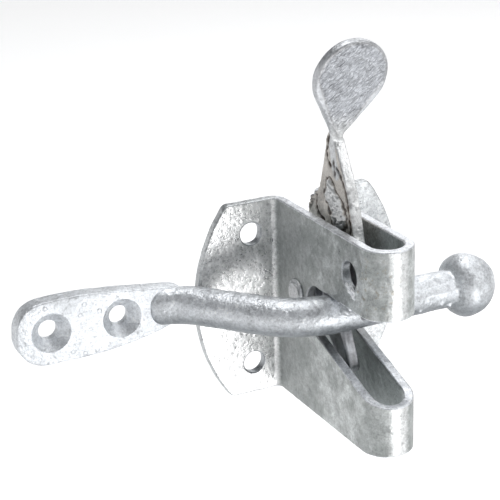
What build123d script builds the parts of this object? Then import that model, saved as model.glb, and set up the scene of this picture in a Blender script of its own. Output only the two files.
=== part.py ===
"""Automatic gate latch, galvanised: a folded catch, its lever and rivet, and a striker bar.

Frame: millimetres. X runs across the catch walls and along the striker bar, with the bar's
head on the +X side. Y = 0 is the back of the flanges, on the post, and the catch stands out
towards -Y. Z is up. The origin is the middle of the catch's back.
The latch is shown closed: the bar lies in the catch and the lever's claw is down over it.
"""

import os
from math import cos, radians, sin, tan

from build123d import *

# The strip that the catch is folded from
strip_thickness = 3.0
strip_height = 65.0
fold_radius = 2.0
wall_gap = 10.5
catch_projection = 64.7

# The flanges against the post
flange_corner_half_width = 25.5
flange_half_width = 36.5
flange_corner_radius = 2.5

# Screw holes in the flanges
post_hole_radius = 3.6
post_hole_half_spacing_x = 17.2
post_hole_half_spacing_z = 22.0

# The mouth, a slot that opens to the front through both walls and the front fold
mouth_back_y = -22.6
mouth_ramp_angle = 18.2
mouth_lip_z = -17.0
mouth_corner_radius = 6.4

# The padlock hole through both walls
padlock_hole_radius = 4.3
padlock_hole_y = -49.3
padlock_hole_z = 21.6

# The rivet that the lever turns on
pivot_y = -16.2
pivot_z = 5.0
rivet_radius = 3.2
rivet_head_radius = 4.5
rivet_head_height = 1.3
rivet_edge_rounding = 0.5

# The lever: a flat plate with an eye, a claw, a twisted neck and a leaf-shaped thumb pad
lever_thickness = 4.0
eye_radius = 6.3
eye_side_clearance = 0.3
pivot_clearance = 0.06
lever_lean = 15.5
neck_y = -28.3
neck_z = 59.6

# The plate's outer edge above the claw: forward of the rivet, behind it, and above it
chest_forward = 24.8
chest_rise = 25.0
breast_forward = 20.5
breast_rise = 38.3
waist_forward = 4.2
waist_rise = 35.5
flare_back = 3.2
flare_rise = 25.3
plate_top_width = 4.0
plate_top_drop = 2.6
plate_top_forward = 0.9

# The claw
claw_clearance = 0.6
claw_roof_clearance = 0.45
claw_roof_radius = 3.0
jaw_gap = 1.9
jaw_tip_radius = 1.4
jaw_depth = 3.2
horn_angle = 62.0
horn_length = 16.0
horn_tip_radius = 2.4

# The twisted neck
neck_overlap = 2.4
neck_foot_width = 4.2
neck_head_width = 7.6
neck_head_rise = 4.8
neck_head_thickness = 2.7
neck_edge_rounding = 0.6
neck_steps = 4

# The thumb pad
pad_thickness = 3.0
pad_head_radius = 12.1
pad_head_distance = 17.4
pad_root_radius = 2.2
pad_side_lean = 6.5
pad_edge_rounding = 1.0

# The striker bar: a round bar, cranked forward, with a domed head and a flat palm
bar_radius = 6.0
bar_clearance = 0.3
bar_y = -36.3
bar_z = 4.6
crank_angle = 50.8
crank_corner_x = -17.5
crank_front_radius = 26.0
crank_back_radius = 12.0
bar_root_x = -51.5
bar_root_rounding = 4.0

# The striker's domed head
head_radius = 10.1
head_centre_x = 40.3
head_rim_x = 39.3
head_collar_x = 34.8
head_collar_rise = 2.6

# The striker's palm and its two countersunk screw holes
palm_thickness = 5.5
palm_half_width = 10.2
palm_z = 3.9
palm_end_x = -96.4
palm_end_radius = 9.2
palm_shoulder_x = -76.0
palm_flank_x = -57.4
palm_flank_half_width = 8.3
palm_root_x = -44.0
palm_root_radius = 3.0
gate_hole_radius = 3.1
gate_countersink_radius = 6.3
gate_countersink_angle = 90
gate_hole_x = -85.5
gate_hole_spacing = 22.8

# Sizes that follow from the ones above
half_height = strip_height / 2
wall_inner_x = wall_gap / 2
wall_outer_x = wall_inner_x + strip_thickness
wall_middle_x = wall_inner_x + strip_thickness / 2
fold_middle_radius = fold_radius + strip_thickness / 2
front_fold_centre_y = wall_outer_x - catch_projection
mouth_top_z = bar_z + bar_radius + bar_clearance
cut_reach = catch_projection + strip_height


# The catch: one strip, folded out from the left flange, round the front and back again
with BuildPart() as catch_body:
    with BuildSketch(Plane.XY.offset(-half_height)):
        with BuildLine() as strip_middle:
            left_side = FilletPolyline(
                (-flange_half_width, -strip_thickness / 2),
                (-wall_middle_x, -strip_thickness / 2),
                (-wall_middle_x, front_fold_centre_y),
                radius=fold_middle_radius,
            )
            ThreePointArc(
                left_side @ 1,
                (0, front_fold_centre_y - wall_middle_x),
                (wall_middle_x, front_fold_centre_y),
            )
            mirror(left_side, about=Plane.YZ)
        trace(line_width=strip_thickness)
    extrude(amount=strip_height)

    # The flanges bulge at their sides and are cut level above and below
    with BuildSketch(Plane.XZ) as flange_outline:
        with BuildLine():
            right_bulge = ThreePointArc(
                (flange_corner_half_width, -half_height),
                (flange_half_width, 0),
                (flange_corner_half_width, half_height),
            )
            left_bulge = mirror(right_bulge, about=Plane.YZ)
            Line(right_bulge @ 1, left_bulge @ 1)
            Line(right_bulge @ 0, left_bulge @ 0)
        make_face()
        fillet(flange_outline.vertices(), radius=flange_corner_radius)
    extrude(amount=cut_reach, both=True, mode=Mode.INTERSECT)

    # Four screw holes in the flanges
    with BuildSketch(Plane.XZ):
        with GridLocations(2 * post_hole_half_spacing_x, 2 * post_hole_half_spacing_z, 2, 2):
            Circle(post_hole_radius)
    extrude(amount=2 * strip_thickness, both=True, mode=Mode.SUBTRACT)

    # The mouth, with a level roof, a ramp below and a round back where the bar comes to rest
    mouth_front_y = -cut_reach
    ramp_slope = tan(radians(mouth_ramp_angle))
    with BuildSketch(Plane.YZ) as mouth:
        with BuildLine():
            Polyline(
                (mouth_front_y, mouth_top_z),
                (mouth_back_y, mouth_top_z),
                (mouth_back_y, mouth_lip_z + ramp_slope * (catch_projection + mouth_back_y)),
                (mouth_front_y, mouth_lip_z + ramp_slope * (catch_projection + mouth_front_y)),
                close=True,
            )
        make_face()
        fillet(mouth.vertices().sort_by(Axis.X)[-2:], radius=mouth_corner_radius)
    extrude(amount=2 * wall_outer_x, both=True, mode=Mode.SUBTRACT)

    # The padlock hole and the rivet hole, each through both walls
    with BuildSketch(Plane.YZ):
        with Locations((padlock_hole_y, padlock_hole_z)):
            Circle(padlock_hole_radius)
        with Locations((pivot_y, pivot_z)):
            Circle(rivet_radius)
    extrude(amount=2 * wall_outer_x, both=True, mode=Mode.SUBTRACT)

# The rivet: a shank through both walls, with a low flat head outside each of them
with BuildPart() as pivot_rivet:
    with BuildSketch(Plane.YZ.offset(-wall_outer_x)):
        with Locations((pivot_y, pivot_z)):
            Circle(rivet_radius)
    extrude(amount=2 * wall_outer_x)
    for head_plane, outward in ((-wall_outer_x, -1), (wall_outer_x, 1)):
        with BuildSketch(Plane.YZ.offset(head_plane)):
            with Locations((pivot_y, pivot_z)):
                Circle(rivet_head_radius)
        extrude(amount=outward * rivet_head_height)
    head_faces = pivot_rivet.faces().filter_by(Axis.X).sort_by(Axis.X)
    fillet(head_faces[0].edges() + head_faces[-1].edges(), radius=rivet_edge_rounding)

# The lever's claw in side view. The horn stands behind and below the bar, the roof lies
# over it and the jaw hangs down in front of it. Points are in Y and Z.
claw_radius = bar_radius + claw_clearance
horn_run = (-cos(radians(horn_angle)), -sin(radians(horn_angle)))
horn_side = (sin(radians(horn_angle)), -cos(radians(horn_angle)))
horn_root = (bar_y + claw_radius * horn_side[0], bar_z + claw_radius * horn_side[1])
horn_end = (horn_root[0] + horn_length * horn_run[0], horn_root[1] + horn_length * horn_run[1])
horn_tip = (
    horn_end[0] + horn_tip_radius * horn_side[0],
    horn_end[1] + horn_tip_radius * horn_side[1],
)
claw_roof_z = bar_z + bar_radius + claw_roof_clearance
jaw_inner_y = bar_y - bar_radius - jaw_gap
jaw_front_y = jaw_inner_y - jaw_depth
jaw_shoulder_z = claw_roof_z + claw_roof_radius

# The corners of the plate's outer edge, from the chest in front, over the top and down the back
plate_chest = (pivot_y - chest_forward, pivot_z + chest_rise)
plate_breast = (pivot_y - breast_forward, pivot_z + breast_rise)
plate_top_front = (neck_y - plate_top_forward, neck_z - plate_top_drop)
plate_top_back = (plate_top_front[0] + plate_top_width, plate_top_front[1])
plate_waist_back = (pivot_y - waist_forward, pivot_z + waist_rise)
plate_flare_back = (pivot_y + flare_back, pivot_z + flare_rise)
plate_heel_back = (pivot_y + eye_radius, pivot_z)

with BuildPart() as latch_lever:
    # The leaf-shaped thumb pad, which faces the front and leans with the lever
    pad_front = Vector(0, -cos(radians(lever_lean)), -sin(radians(lever_lean)))
    lever_up = Vector(0, -sin(radians(lever_lean)), cos(radians(lever_lean)))
    pad_across = Vector(1, 0, 0).rotate(Axis((0, 0, 0), pad_front), -pad_side_lean)
    pad_plane = Plane(origin=(0, neck_y, neck_z), x_dir=pad_across, z_dir=pad_front)
    with BuildSketch(pad_plane.offset(-pad_thickness / 2)):
        Circle(pad_root_radius)
        with Locations((0, pad_head_distance)):
            Circle(pad_head_radius)
        make_hull()
    extrude(amount=pad_thickness)
    fillet(latch_lever.edges().filter_by(pad_plane), radius=pad_edge_rounding)

    # The neck, a quarter twist that turns the plate's edge round to the pad's side
    neck_foot = Vector(0, (plate_top_front[0] + plate_top_back[0]) / 2, plate_top_back[1])
    neck_foot -= lever_up * neck_overlap
    neck_head = pad_plane.from_local_coords((0, neck_head_rise, 0))
    for step in range(neck_steps + 1):
        share = step / neck_steps
        twist = radians(90 * (3 * share**2 - 2 * share**3))
        section_plane = Plane(
            origin=neck_foot + (neck_head - neck_foot) * share,
            x_dir=Vector(1, 0, 0) * cos(twist) + pad_front * sin(twist),
            z_dir=lever_up,
        )
        with BuildSketch(section_plane):
            RectangleRounded(
                lever_thickness - (lever_thickness - neck_head_thickness) * share,
                neck_foot_width + (neck_head_width - neck_foot_width) * share,
                neck_edge_rounding,
            )
    loft()

    # The plate, with the claw cut into its lower front
    with BuildSketch(Plane.YZ.offset(-lever_thickness / 2)) as plate:
        with BuildLine():
            back_of_claw = ThreePointArc(
                horn_root,
                (
                    bar_y + claw_radius * cos(radians(30)),
                    bar_z + claw_radius * sin(radians(30)),
                ),
                (
                    bar_y + (claw_radius**2 - (claw_roof_z - bar_z) ** 2) ** 0.5,
                    claw_roof_z,
                ),
            )
            Polyline(
                back_of_claw @ 1,
                (jaw_inner_y, claw_roof_z),
                (jaw_inner_y, bar_z),
                (jaw_inner_y - 2 * jaw_tip_radius, bar_z),
                (jaw_front_y, jaw_shoulder_z - 2 * jaw_tip_radius),
                (jaw_front_y, jaw_shoulder_z),
                plate_chest,
            )
            ThreePointArc(plate_chest, plate_breast, plate_top_front)
            Polyline(
                plate_top_front,
                plate_top_back,
                plate_waist_back,
                plate_flare_back,
                plate_heel_back,
                (pivot_y, pivot_z - eye_radius),
                (horn_tip[0] + horn_tip_radius, horn_tip[1] - horn_tip_radius),
                horn_end,
                horn_root,
            )
        make_face()
        roof_corner = plate.vertices().sort_by_distance((jaw_inner_y, claw_roof_z))[0]
        fillet(roof_corner, radius=claw_roof_radius)
        jaw_corners = plate.vertices().sort_by_distance((jaw_inner_y, bar_z))[:2]
        fillet(jaw_corners, radius=jaw_tip_radius * 0.9)
        with Locations(horn_tip):
            Circle(horn_tip_radius)
        with Locations((pivot_y, pivot_z)):
            Circle(eye_radius)
    extrude(amount=lever_thickness)

    # The eye fills the gap between the walls, so that it keeps the lever in the middle
    with BuildSketch(Plane.YZ):
        with Locations((pivot_y, pivot_z)):
            Circle(eye_radius)
    extrude(amount=wall_inner_x - eye_side_clearance, both=True)
    with BuildSketch(Plane.YZ):
        with Locations((pivot_y, pivot_z)):
            Circle(rivet_radius + pivot_clearance)
    extrude(amount=wall_inner_x, both=True, mode=Mode.SUBTRACT)

# The striker bar, with its crank, head, palm and two screw holes
with BuildPart() as striker_bar:
    bar_root_y = -bar_radius
    crank_back_x = crank_corner_x - (bar_root_y - bar_y) / tan(radians(crank_angle))
    with BuildLine(Plane.XY.offset(bar_z)):
        FilletPolyline(
            (bar_root_x, bar_root_y),
            (crank_back_x, bar_root_y),
            (crank_corner_x, bar_y),
            (head_centre_x, bar_y),
            radius=(crank_back_radius, crank_front_radius),
        )
    with BuildSketch(Plane.YZ.offset(bar_root_x)):
        with Locations((bar_root_y, bar_z)):
            Circle(bar_radius)
    sweep()
    root_edge = striker_bar.edges().filter_by(GeomType.CIRCLE).sort_by(Axis.X)[0]
    fillet(root_edge, radius=bar_root_rounding)

    # The head: a ball-shaped dome on a rounded collar
    with BuildSketch(Plane.XY.offset(bar_z)):
        with BuildLine():
            rim_radius = (head_radius**2 - (head_centre_x - head_rim_x) ** 2) ** 0.5
            collar = ThreePointArc(
                (head_collar_x, bar_y - bar_radius),
                (
                    (head_collar_x + head_rim_x) / 2 - head_collar_rise / 4,
                    bar_y - bar_radius - head_collar_rise,
                ),
                (head_rim_x, bar_y - rim_radius),
            )
            dome = ThreePointArc(
                collar @ 1,
                (
                    head_centre_x + head_radius * cos(radians(45)),
                    bar_y - head_radius * sin(radians(45)),
                ),
                (head_centre_x + head_radius, bar_y),
            )
            Polyline(dome @ 1, (head_collar_x, bar_y), collar @ 0)
        make_face()
    revolve(axis=Axis((0, bar_y, bar_z), (1, 0, 0)))

    # The palm, flattened from the bar and flush with its back
    with BuildSketch(Plane.XZ) as palm:
        with BuildLine():
            upper_flank = ThreePointArc(
                (palm_shoulder_x, palm_z + palm_half_width),
                (palm_flank_x, palm_z + palm_flank_half_width),
                (palm_root_x, bar_z + bar_radius),
            )
            lower_flank = ThreePointArc(
                (palm_shoulder_x, palm_z - palm_half_width),
                (palm_flank_x, palm_z - palm_flank_half_width),
                (palm_root_x, bar_z - bar_radius),
            )
            Line(upper_flank @ 1, lower_flank @ 1)
            Polyline(
                upper_flank @ 0,
                (palm_end_x, palm_z + palm_half_width),
                (palm_end_x, palm_z - palm_half_width),
                lower_flank @ 0,
            )
        make_face()
        fillet(palm.vertices().sort_by(Axis.X)[:2], radius=palm_end_radius)
        fillet(palm.vertices().sort_by(Axis.X)[-2:], radius=palm_root_radius)
    extrude(amount=palm_thickness)

    # Two countersunk screw holes through the palm
    with Locations(Plane.XZ.offset(palm_thickness)):
        with Locations(
            (gate_hole_x, palm_z),
            (gate_hole_x + gate_hole_spacing, palm_z),
        ):
            CounterSinkHole(
                radius=gate_hole_radius,
                counter_sink_radius=gate_countersink_radius,
                counter_sink_angle=gate_countersink_angle,
            )

catch_body.part.label = "catch_body"
pivot_rivet.part.label = "pivot_rivet"
latch_lever.part.label = "latch_lever"
striker_bar.part.label = "striker_bar"

os.makedirs("parts", exist_ok=True)
export_step(catch_body.part, "parts/catch_body.step")
export_step(pivot_rivet.part, "parts/pivot_rivet.step")
export_step(latch_lever.part, "parts/latch_lever.step")
export_step(striker_bar.part, "parts/striker_bar.step")
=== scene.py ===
"""Automatic gate latch in galvanised steel: the looks of its catch, rivet, lever and striker bar.

Every piece is built in millimetres in the frame of the solids and brought to metres at the end:
X runs along the striker bar, -Y stands out from the post and Z is up.
"""

import logging
import math
from dataclasses import dataclass
from enum import Enum
from typing import Callable, Sequence

import bmesh
import bpy
from mathutils import Matrix, Vector, noise

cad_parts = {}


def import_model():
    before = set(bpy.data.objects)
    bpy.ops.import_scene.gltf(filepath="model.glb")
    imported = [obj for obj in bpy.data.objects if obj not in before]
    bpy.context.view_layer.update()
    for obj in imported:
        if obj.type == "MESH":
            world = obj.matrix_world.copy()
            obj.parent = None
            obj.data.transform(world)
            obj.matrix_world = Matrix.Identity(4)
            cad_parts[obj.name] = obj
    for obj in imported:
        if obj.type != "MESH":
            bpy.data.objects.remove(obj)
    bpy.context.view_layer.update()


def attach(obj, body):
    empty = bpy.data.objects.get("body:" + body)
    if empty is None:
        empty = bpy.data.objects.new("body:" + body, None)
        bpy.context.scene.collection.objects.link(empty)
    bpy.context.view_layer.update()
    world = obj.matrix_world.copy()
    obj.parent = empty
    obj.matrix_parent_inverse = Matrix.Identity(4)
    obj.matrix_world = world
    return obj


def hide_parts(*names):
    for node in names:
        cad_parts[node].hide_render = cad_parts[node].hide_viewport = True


LOG = logging.getLogger("gate_latch")
SIDEWAYS = Vector((1, 0, 0))
UPWARDS = Vector((0, 0, 1))

# A millimetre in metres; in millimetres, when two points are one and how far a tool passes the metal.
MM = 0.001
SAME_PLACE = 1e-4
TOOL_PAST = 1.0

# How many chords stand for a rim, a rounded corner, a hole or bar, and a piece off the lathe.
RIM_STEPS = 4
CORNER_STEPS = 8
ROUND_STEPS = 48
LATHE_STEPS = 64

# How often a ball's faces are divided, and how far one smoothing of a skin goes.
BALL_FINENESS = 3
SMOOTHING = 0.5

# Attributes that the meshes carry for their materials.
RIM = "rim"
BORE = "bore"
# The lever's soot mask also carries painted shade.
SOOT_AND_SHADE = "soot_and_shade"
BRIGHT = "bright"
HAMMERED = "hammered"
SCORCHED = "scorched"
UNDERSIDE = "underside"

# The colour sockets of a Mix node, whose names its other kinds share.
MIX_INPUTS = (0, 6, 7)
MIX_RESULT = 2

# The middle of a noise's values, how much its finer layers count, and a dot's full part of its radius.
NOISE_MIDDLE = 0.5
NOISE_ROUGHNESS = 0.6
DOT_CORE = 0.35
WHITE = (1, 1, 1, 1)

# Pairs: a point of a plane, a start and an end, a wave's height and pitch, a pattern's scale and detail.
Point = tuple[float, float]
Span = tuple[float, float]
Wave = tuple[float, float]
Pattern = tuple[float, float]
Triple = tuple[float, float, float]
Tone = tuple[float, float, float, float]
Edges = list[bmesh.types.BMEdge]
Placer = Callable[[Point, float], Vector]
Socket = bpy.types.NodeSocket
Value = float | Sequence[float] | bpy.types.NodeSocket


class Body(str, Enum):
    """The rigid bodies that a piece can ride on."""

    CATCH = "catch"
    LEVER = "lever"
    STRIKER = "striker"


class Slot(str, Enum):
    """The record's material slots."""

    STRIP = "galvanised_strip"
    RIVET = "rivet_steel"
    LEVER = "galvanised_lever"
    BAR = "galvanised_bar"


def arc(centre: Point, radius: float, start: float, end: float, steps: int) -> list[Point]:
    """Points along a round arc, both ends included, from a start to an end angle in degrees."""
    angles = [math.radians(start + (end - start) * k / steps) for k in range(steps + 1)]
    return [(centre[0] + radius * math.cos(a), centre[1] + radius * math.sin(a)) for a in angles]


def arc_through(first: Point, middle: Point, last: Point, steps: int) -> list[Point]:
    """Points along the arc through three points, both ends included.

    Args:
        first: Where the arc starts.
        middle: A point that it passes.
        last: Where it ends.
        steps: How many chords stand for the arc.

    Returns:
        The points, in order from first to last.
    """
    (ax, ay), (bx, by), (cx, cy) = first, middle, last
    divisor = 2 * (ax * (by - cy) + bx * (cy - ay) + cx * (ay - by))
    a_square, b_square, c_square = ax * ax + ay * ay, bx * bx + by * by, cx * cx + cy * cy
    centre = (
        (a_square * (by - cy) + b_square * (cy - ay) + c_square * (ay - by)) / divisor,
        (a_square * (cx - bx) + b_square * (ax - cx) + c_square * (bx - ax)) / divisor,
    )
    angles = [math.degrees(math.atan2(y - centre[1], x - centre[0])) for x, y in (first, middle, last)]
    turn = (angles[2] - angles[0]) % 360
    if (angles[1] - angles[0]) % 360 > turn:
        turn -= 360
    radius = math.dist(first, centre)
    return arc(centre, radius, angles[0], angles[0] + turn, steps)


def rounded(corners: Sequence[tuple[Point, float]], steps: int = CORNER_STEPS) -> list[Point]:
    """A closed outline whose corners are rounded.

    Args:
        corners: Each corner with its radius, in order round the outline; 0 leaves it sharp.
        steps: How many chords stand for each rounding.

    Returns:
        The outline's points.
    """
    outline: list[Point] = []
    for index, (corner, radius) in enumerate(corners):
        here = Vector(corner)
        before = (Vector(corners[index - 1][0]) - here).normalized()
        after = (Vector(corners[(index + 1) % len(corners)][0]) - here).normalized()
        if radius == 0:
            outline.append(corner)
            continue
        half = before.angle(after) / 2
        centre = here + (before + after).normalized() * (radius / math.sin(half))
        start = here + before * (radius / math.tan(half))
        end = here + after * (radius / math.tan(half))
        first = math.degrees(math.atan2(*(start - centre).yx))
        turn = (math.degrees(math.atan2(*(end - centre).yx)) - first + 180) % 360 - 180
        outline += arc(tuple(centre), radius, first, first + turn, steps)
    return outline


def smooth_step(low: float, high: float, value: float) -> float:
    """How far a value is from low to high, from 0 to 1 with soft ends."""
    share = min(1.0, max(0.0, (value - low) / (high - low)))
    return share * share * (3 - 2 * share)


def between(span: Span, share: float) -> float:
    """The value that is a share of the way along a span."""
    return span[0] + (span[1] - span[0]) * share


def ripple(place: Vector, wave: Wave) -> float:
    """The height of soft waves at a place."""
    return noise.noise(place / wave[1]) * wave[0]


def distance_to_line(point: Point, line: Sequence[Point]) -> float:
    """The shortest distance from a point to a line of several straight runs.

    Args:
        point: The point.
        line: The line's corners, in order.

    Returns:
        The distance.
    """
    here = Vector(point)
    shortest = math.inf
    for first, last in zip(line, line[1:]):
        start, run = Vector(first), Vector(last) - Vector(first)
        share = min(1.0, max(0.0, (here - start).dot(run) / run.length_squared))
        shortest = min(shortest, (here - start - run * share).length)
    return shortest


def spaced(points: Sequence[Point], step: float) -> list[Point]:
    """A closed outline whose long runs are divided and whose double points are single.

    Args:
        points: The outline.
        step: About how long each part is.

    Returns:
        The outline with more points and the same shape.
    """
    divided: list[Point] = []
    for index, here in enumerate(points):
        there = points[(index + 1) % len(points)]
        run = math.dist(here, there)
        if run < SAME_PLACE:
            continue
        parts = max(1, round(run / step))
        divided += [tuple(Vector(here).lerp(Vector(there), k / parts)) for k in range(parts)]
    return divided


def mitres(points: Sequence[Point]) -> list[Vector]:
    """The step to the left of a closed outline, at each of its points, that insets it by one.

    Args:
        points: The outline.

    Returns:
        One step for each point.
    """
    steps = []
    for index, here in enumerate(points):
        before = (Vector(here) - Vector(points[index - 1])).normalized()
        after = (Vector(points[(index + 1) % len(points)]) - Vector(here)).normalized()
        left = [Vector((-run.y, run.x)) for run in (before, after)]
        steps.append((left[0] + left[1]) / (1 + left[0].dot(left[1])))
    return steps


def metal_on_left(points: Sequence[Point], hole: bool) -> list[Point]:
    """An outline in the order that has the metal on its left, which for a hole is outside it."""
    area = sum(a[0] * b[1] - b[0] * a[1] for a, b in zip(points, [*points[1:], points[0]]))
    return list(points) if (area > 0) != hole else list(reversed(points))


def wavered(points: Sequence[Point], wave: Wave) -> list[Point]:
    """An outline as the shears and the zinc leave it, a little uneven.

    Args:
        points: The outline, metal on its left.
        wave: How far it strays and about how long its waves are.

    Returns:
        The uneven outline.
    """
    return [
        tuple(Vector(point) + step * ripple(Vector((*point, 0)), wave))
        for point, step in zip(points, mitres(points))
    ]


class Workpiece:
    """A bmesh in millimetres, with the workshop steps that the latch's pieces share."""

    def __init__(self) -> None:
        """Starts with nothing on the bench."""
        self.mesh = bmesh.new()

    def outline(self, points: Sequence[Point], place: Placer, height: float = 0.0) -> Edges:
        """Draws a closed outline at a height off its own plane and gives its edges."""
        verts = [self.mesh.verts.new(place(point, height)) for point in points]
        return [self.mesh.edges.new((verts[k - 1], verts[k])) for k in range(len(verts))]

    def plate(
        self,
        outlines: Sequence[Sequence[Point]],
        thickness: float,
        edge: float,
        place: Placer,
        drilled: int = 0,
    ) -> None:
        """Makes a plate with rounded rims from its outer outline and those of its holes.

        Args:
            outlines: The outer outline first, then those of the holes.
            thickness: Thickness of the plate.
            edge: Radius of its rims.
            place: Turns a point of the plate and a height off its middle into a place in the frame.
            drilled: How many of the last outlines are drilled holes, whose walls are marked.
        """
        corner = arc((edge, thickness / 2 - edge), edge, 90, 180, RIM_STEPS)
        profile = corner + [(inset, -height) for inset, height in reversed(corner)]
        layers = self.mesh.verts.layers.float
        rim, bore = (layers.get(name) or layers.new(name) for name in (RIM, BORE))
        lids: tuple[Edges, Edges] = ([], [])
        for index, given in enumerate(outlines):
            outline = metal_on_left(given, hole=index > 0)
            steps = mitres(outline)
            rings = []
            for inset, height in profile:
                moved = [tuple(Vector(point) + step * inset) for point, step in zip(outline, steps)]
                rings.append(self.outline(moved, place, height))
            for first, second in zip(rings, rings[1:]):
                bmesh.ops.bridge_loops(self.mesh, edges=first + second)
            for vert in {v for ring in rings[1:-1] for e in ring for v in e.verts}:
                vert[rim] = 1.0
                vert[bore] = float(index >= len(outlines) - drilled)
            lids[0].extend(rings[0])
            lids[1].extend(rings[-1])
        origin = place((0, 0), 0)
        normal = (place((1, 0), 0) - origin).cross(place((0, 1), 0) - origin).normalized()
        for lid in lids:
            bmesh.ops.triangle_fill(self.mesh, edges=lid, use_beauty=True, normal=normal)
        self.face_outwards()

    def face_outwards(self) -> None:
        """Turns every face outwards."""
        bmesh.ops.recalc_face_normals(self.mesh, faces=self.mesh.faces[:])

    def turned(self, profile: Sequence[Point], centre: Vector, axis: Vector, steps: int) -> None:
        """Turns a closed profile into a round solid about a level axis.

        Args:
            profile: Points as (distance along the axis, radius), both ends on the axis.
            centre: The point on the axis from which distances count.
            axis: The axis of the lathe.
            steps: How many strips go round.
        """
        verts = [self.mesh.verts.new(centre + axis * along + UPWARDS * radius) for along, radius in profile]
        edges = [self.mesh.edges.new(pair) for pair in zip(verts, verts[1:])]
        bmesh.ops.spin(
            self.mesh,
            geom=verts + edges,
            cent=centre,
            axis=axis,
            angle=math.tau,
            steps=steps,
            use_merge=True,
        )
        bmesh.ops.remove_doubles(self.mesh, verts=self.mesh.verts[:], dist=SAME_PLACE)

    def carve(self, tool: "Workpiece") -> None:
        """Cuts another workpiece out of this one, uses that one up and clears spare points off the cut.

        Args:
            tool: The other workpiece.
        """
        body, cutter = self.to_object("carved"), tool.to_object("cutter")
        cut = body.modifiers.new("cut", "BOOLEAN")
        cut.operation, cut.solver, cut.object = "DIFFERENCE", "EXACT", cutter
        self.take_result(body)
        bpy.data.objects.remove(cutter)
        spare = [vert for vert in self.mesh.verts if len(vert.link_edges) == 2]
        bmesh.ops.dissolve_verts(self.mesh, verts=spare)

    def fuse(self, voxel: float, rounds: int) -> None:
        """Makes overlapping shells one skin with soft edges, as forging and zinc leave them.

        Args:
            voxel: Fineness of the skin in millimetres.
            rounds: How many times the skin is smoothed.
        """
        shells = self.to_object("shells")
        skin = shells.modifiers.new("skin", "REMESH")
        skin.mode, skin.voxel_size = "VOXEL", voxel
        self.take_result(shells)
        for _ in range(rounds):
            bmesh.ops.smooth_vert(
                self.mesh,
                verts=self.mesh.verts[:],
                factor=SMOOTHING,
                use_axis_x=True,
                use_axis_y=True,
                use_axis_z=True,
            )

    def undulate(self, wave: Wave) -> None:
        """Gives the skin soft waves, as hand forging and running zinc leave them.

        Args:
            wave: Height of the waves and about how long they are, in millimetres.
        """
        self.mesh.normal_update()
        for vert in self.mesh.verts:
            vert.co += vert.normal * ripple(vert.co, wave)

    def join(self, other: "Workpiece") -> None:
        """Lays another workpiece beside what is on the bench and uses it up.

        Args:
            other: The other workpiece.
        """
        lent = other.to_object("lent")
        self.mesh.from_mesh(lent.data)
        bpy.data.objects.remove(lent)

    def crease(self, angle: float) -> None:
        """Keeps edges sharper than an angle crisp.

        Args:
            angle: The angle in degrees.
        """
        for edge in self.mesh.edges:
            if len(edge.link_faces) == 2 and edge.calc_face_angle() > math.radians(angle):
                edge.smooth = False

    def to_object(self, name: str) -> bpy.types.Object:
        """Empties the bench into a new object, still in millimetres.

        Args:
            name: Name of the object and its mesh.

        Returns:
            The object.
        """
        data = bpy.data.meshes.new(name)
        self.mesh.to_mesh(data)
        self.mesh.free()
        made = bpy.data.objects.new(name, data)
        bpy.context.scene.collection.objects.link(made)
        return made

    def take_result(self, source: bpy.types.Object) -> None:
        """Puts an object's mesh, with its modifiers done, on the bench and removes the object.

        Args:
            source: The object.
        """
        graph = bpy.context.evaluated_depsgraph_get()
        self.mesh = bmesh.new()
        self.mesh.from_object(source, graph)
        bpy.data.objects.remove(source)

    def finish(self, name: str, body: Body, slot: Slot, material: bpy.types.Material) -> bpy.types.Object:
        """Brings the piece to metres, dresses it and lets it ride on its body.

        Args:
            name: Name of the piece.
            body: The body that carries it.
            slot: The record's slot of its finish; not used.
            material: Its material.

        Returns:
            The finished object.
        """
        bmesh.ops.scale(self.mesh, vec=(MM, MM, MM), verts=self.mesh.verts[:])
        for face in self.mesh.faces:
            face.smooth = True
        piece = self.to_object(name)
        piece.data.materials.append(material)
        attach(piece, body.value)
        LOG.info("%s: %d faces", name, len(piece.data.polygons))
        return piece


def shade_evenly(piece: bpy.types.Object) -> None:
    """Lets a piece's large faces set its shading, so that flat metal looks flat."""
    even = piece.modifiers.new("even_shading", "WEIGHTED_NORMAL")
    even.keep_sharp = True


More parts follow.
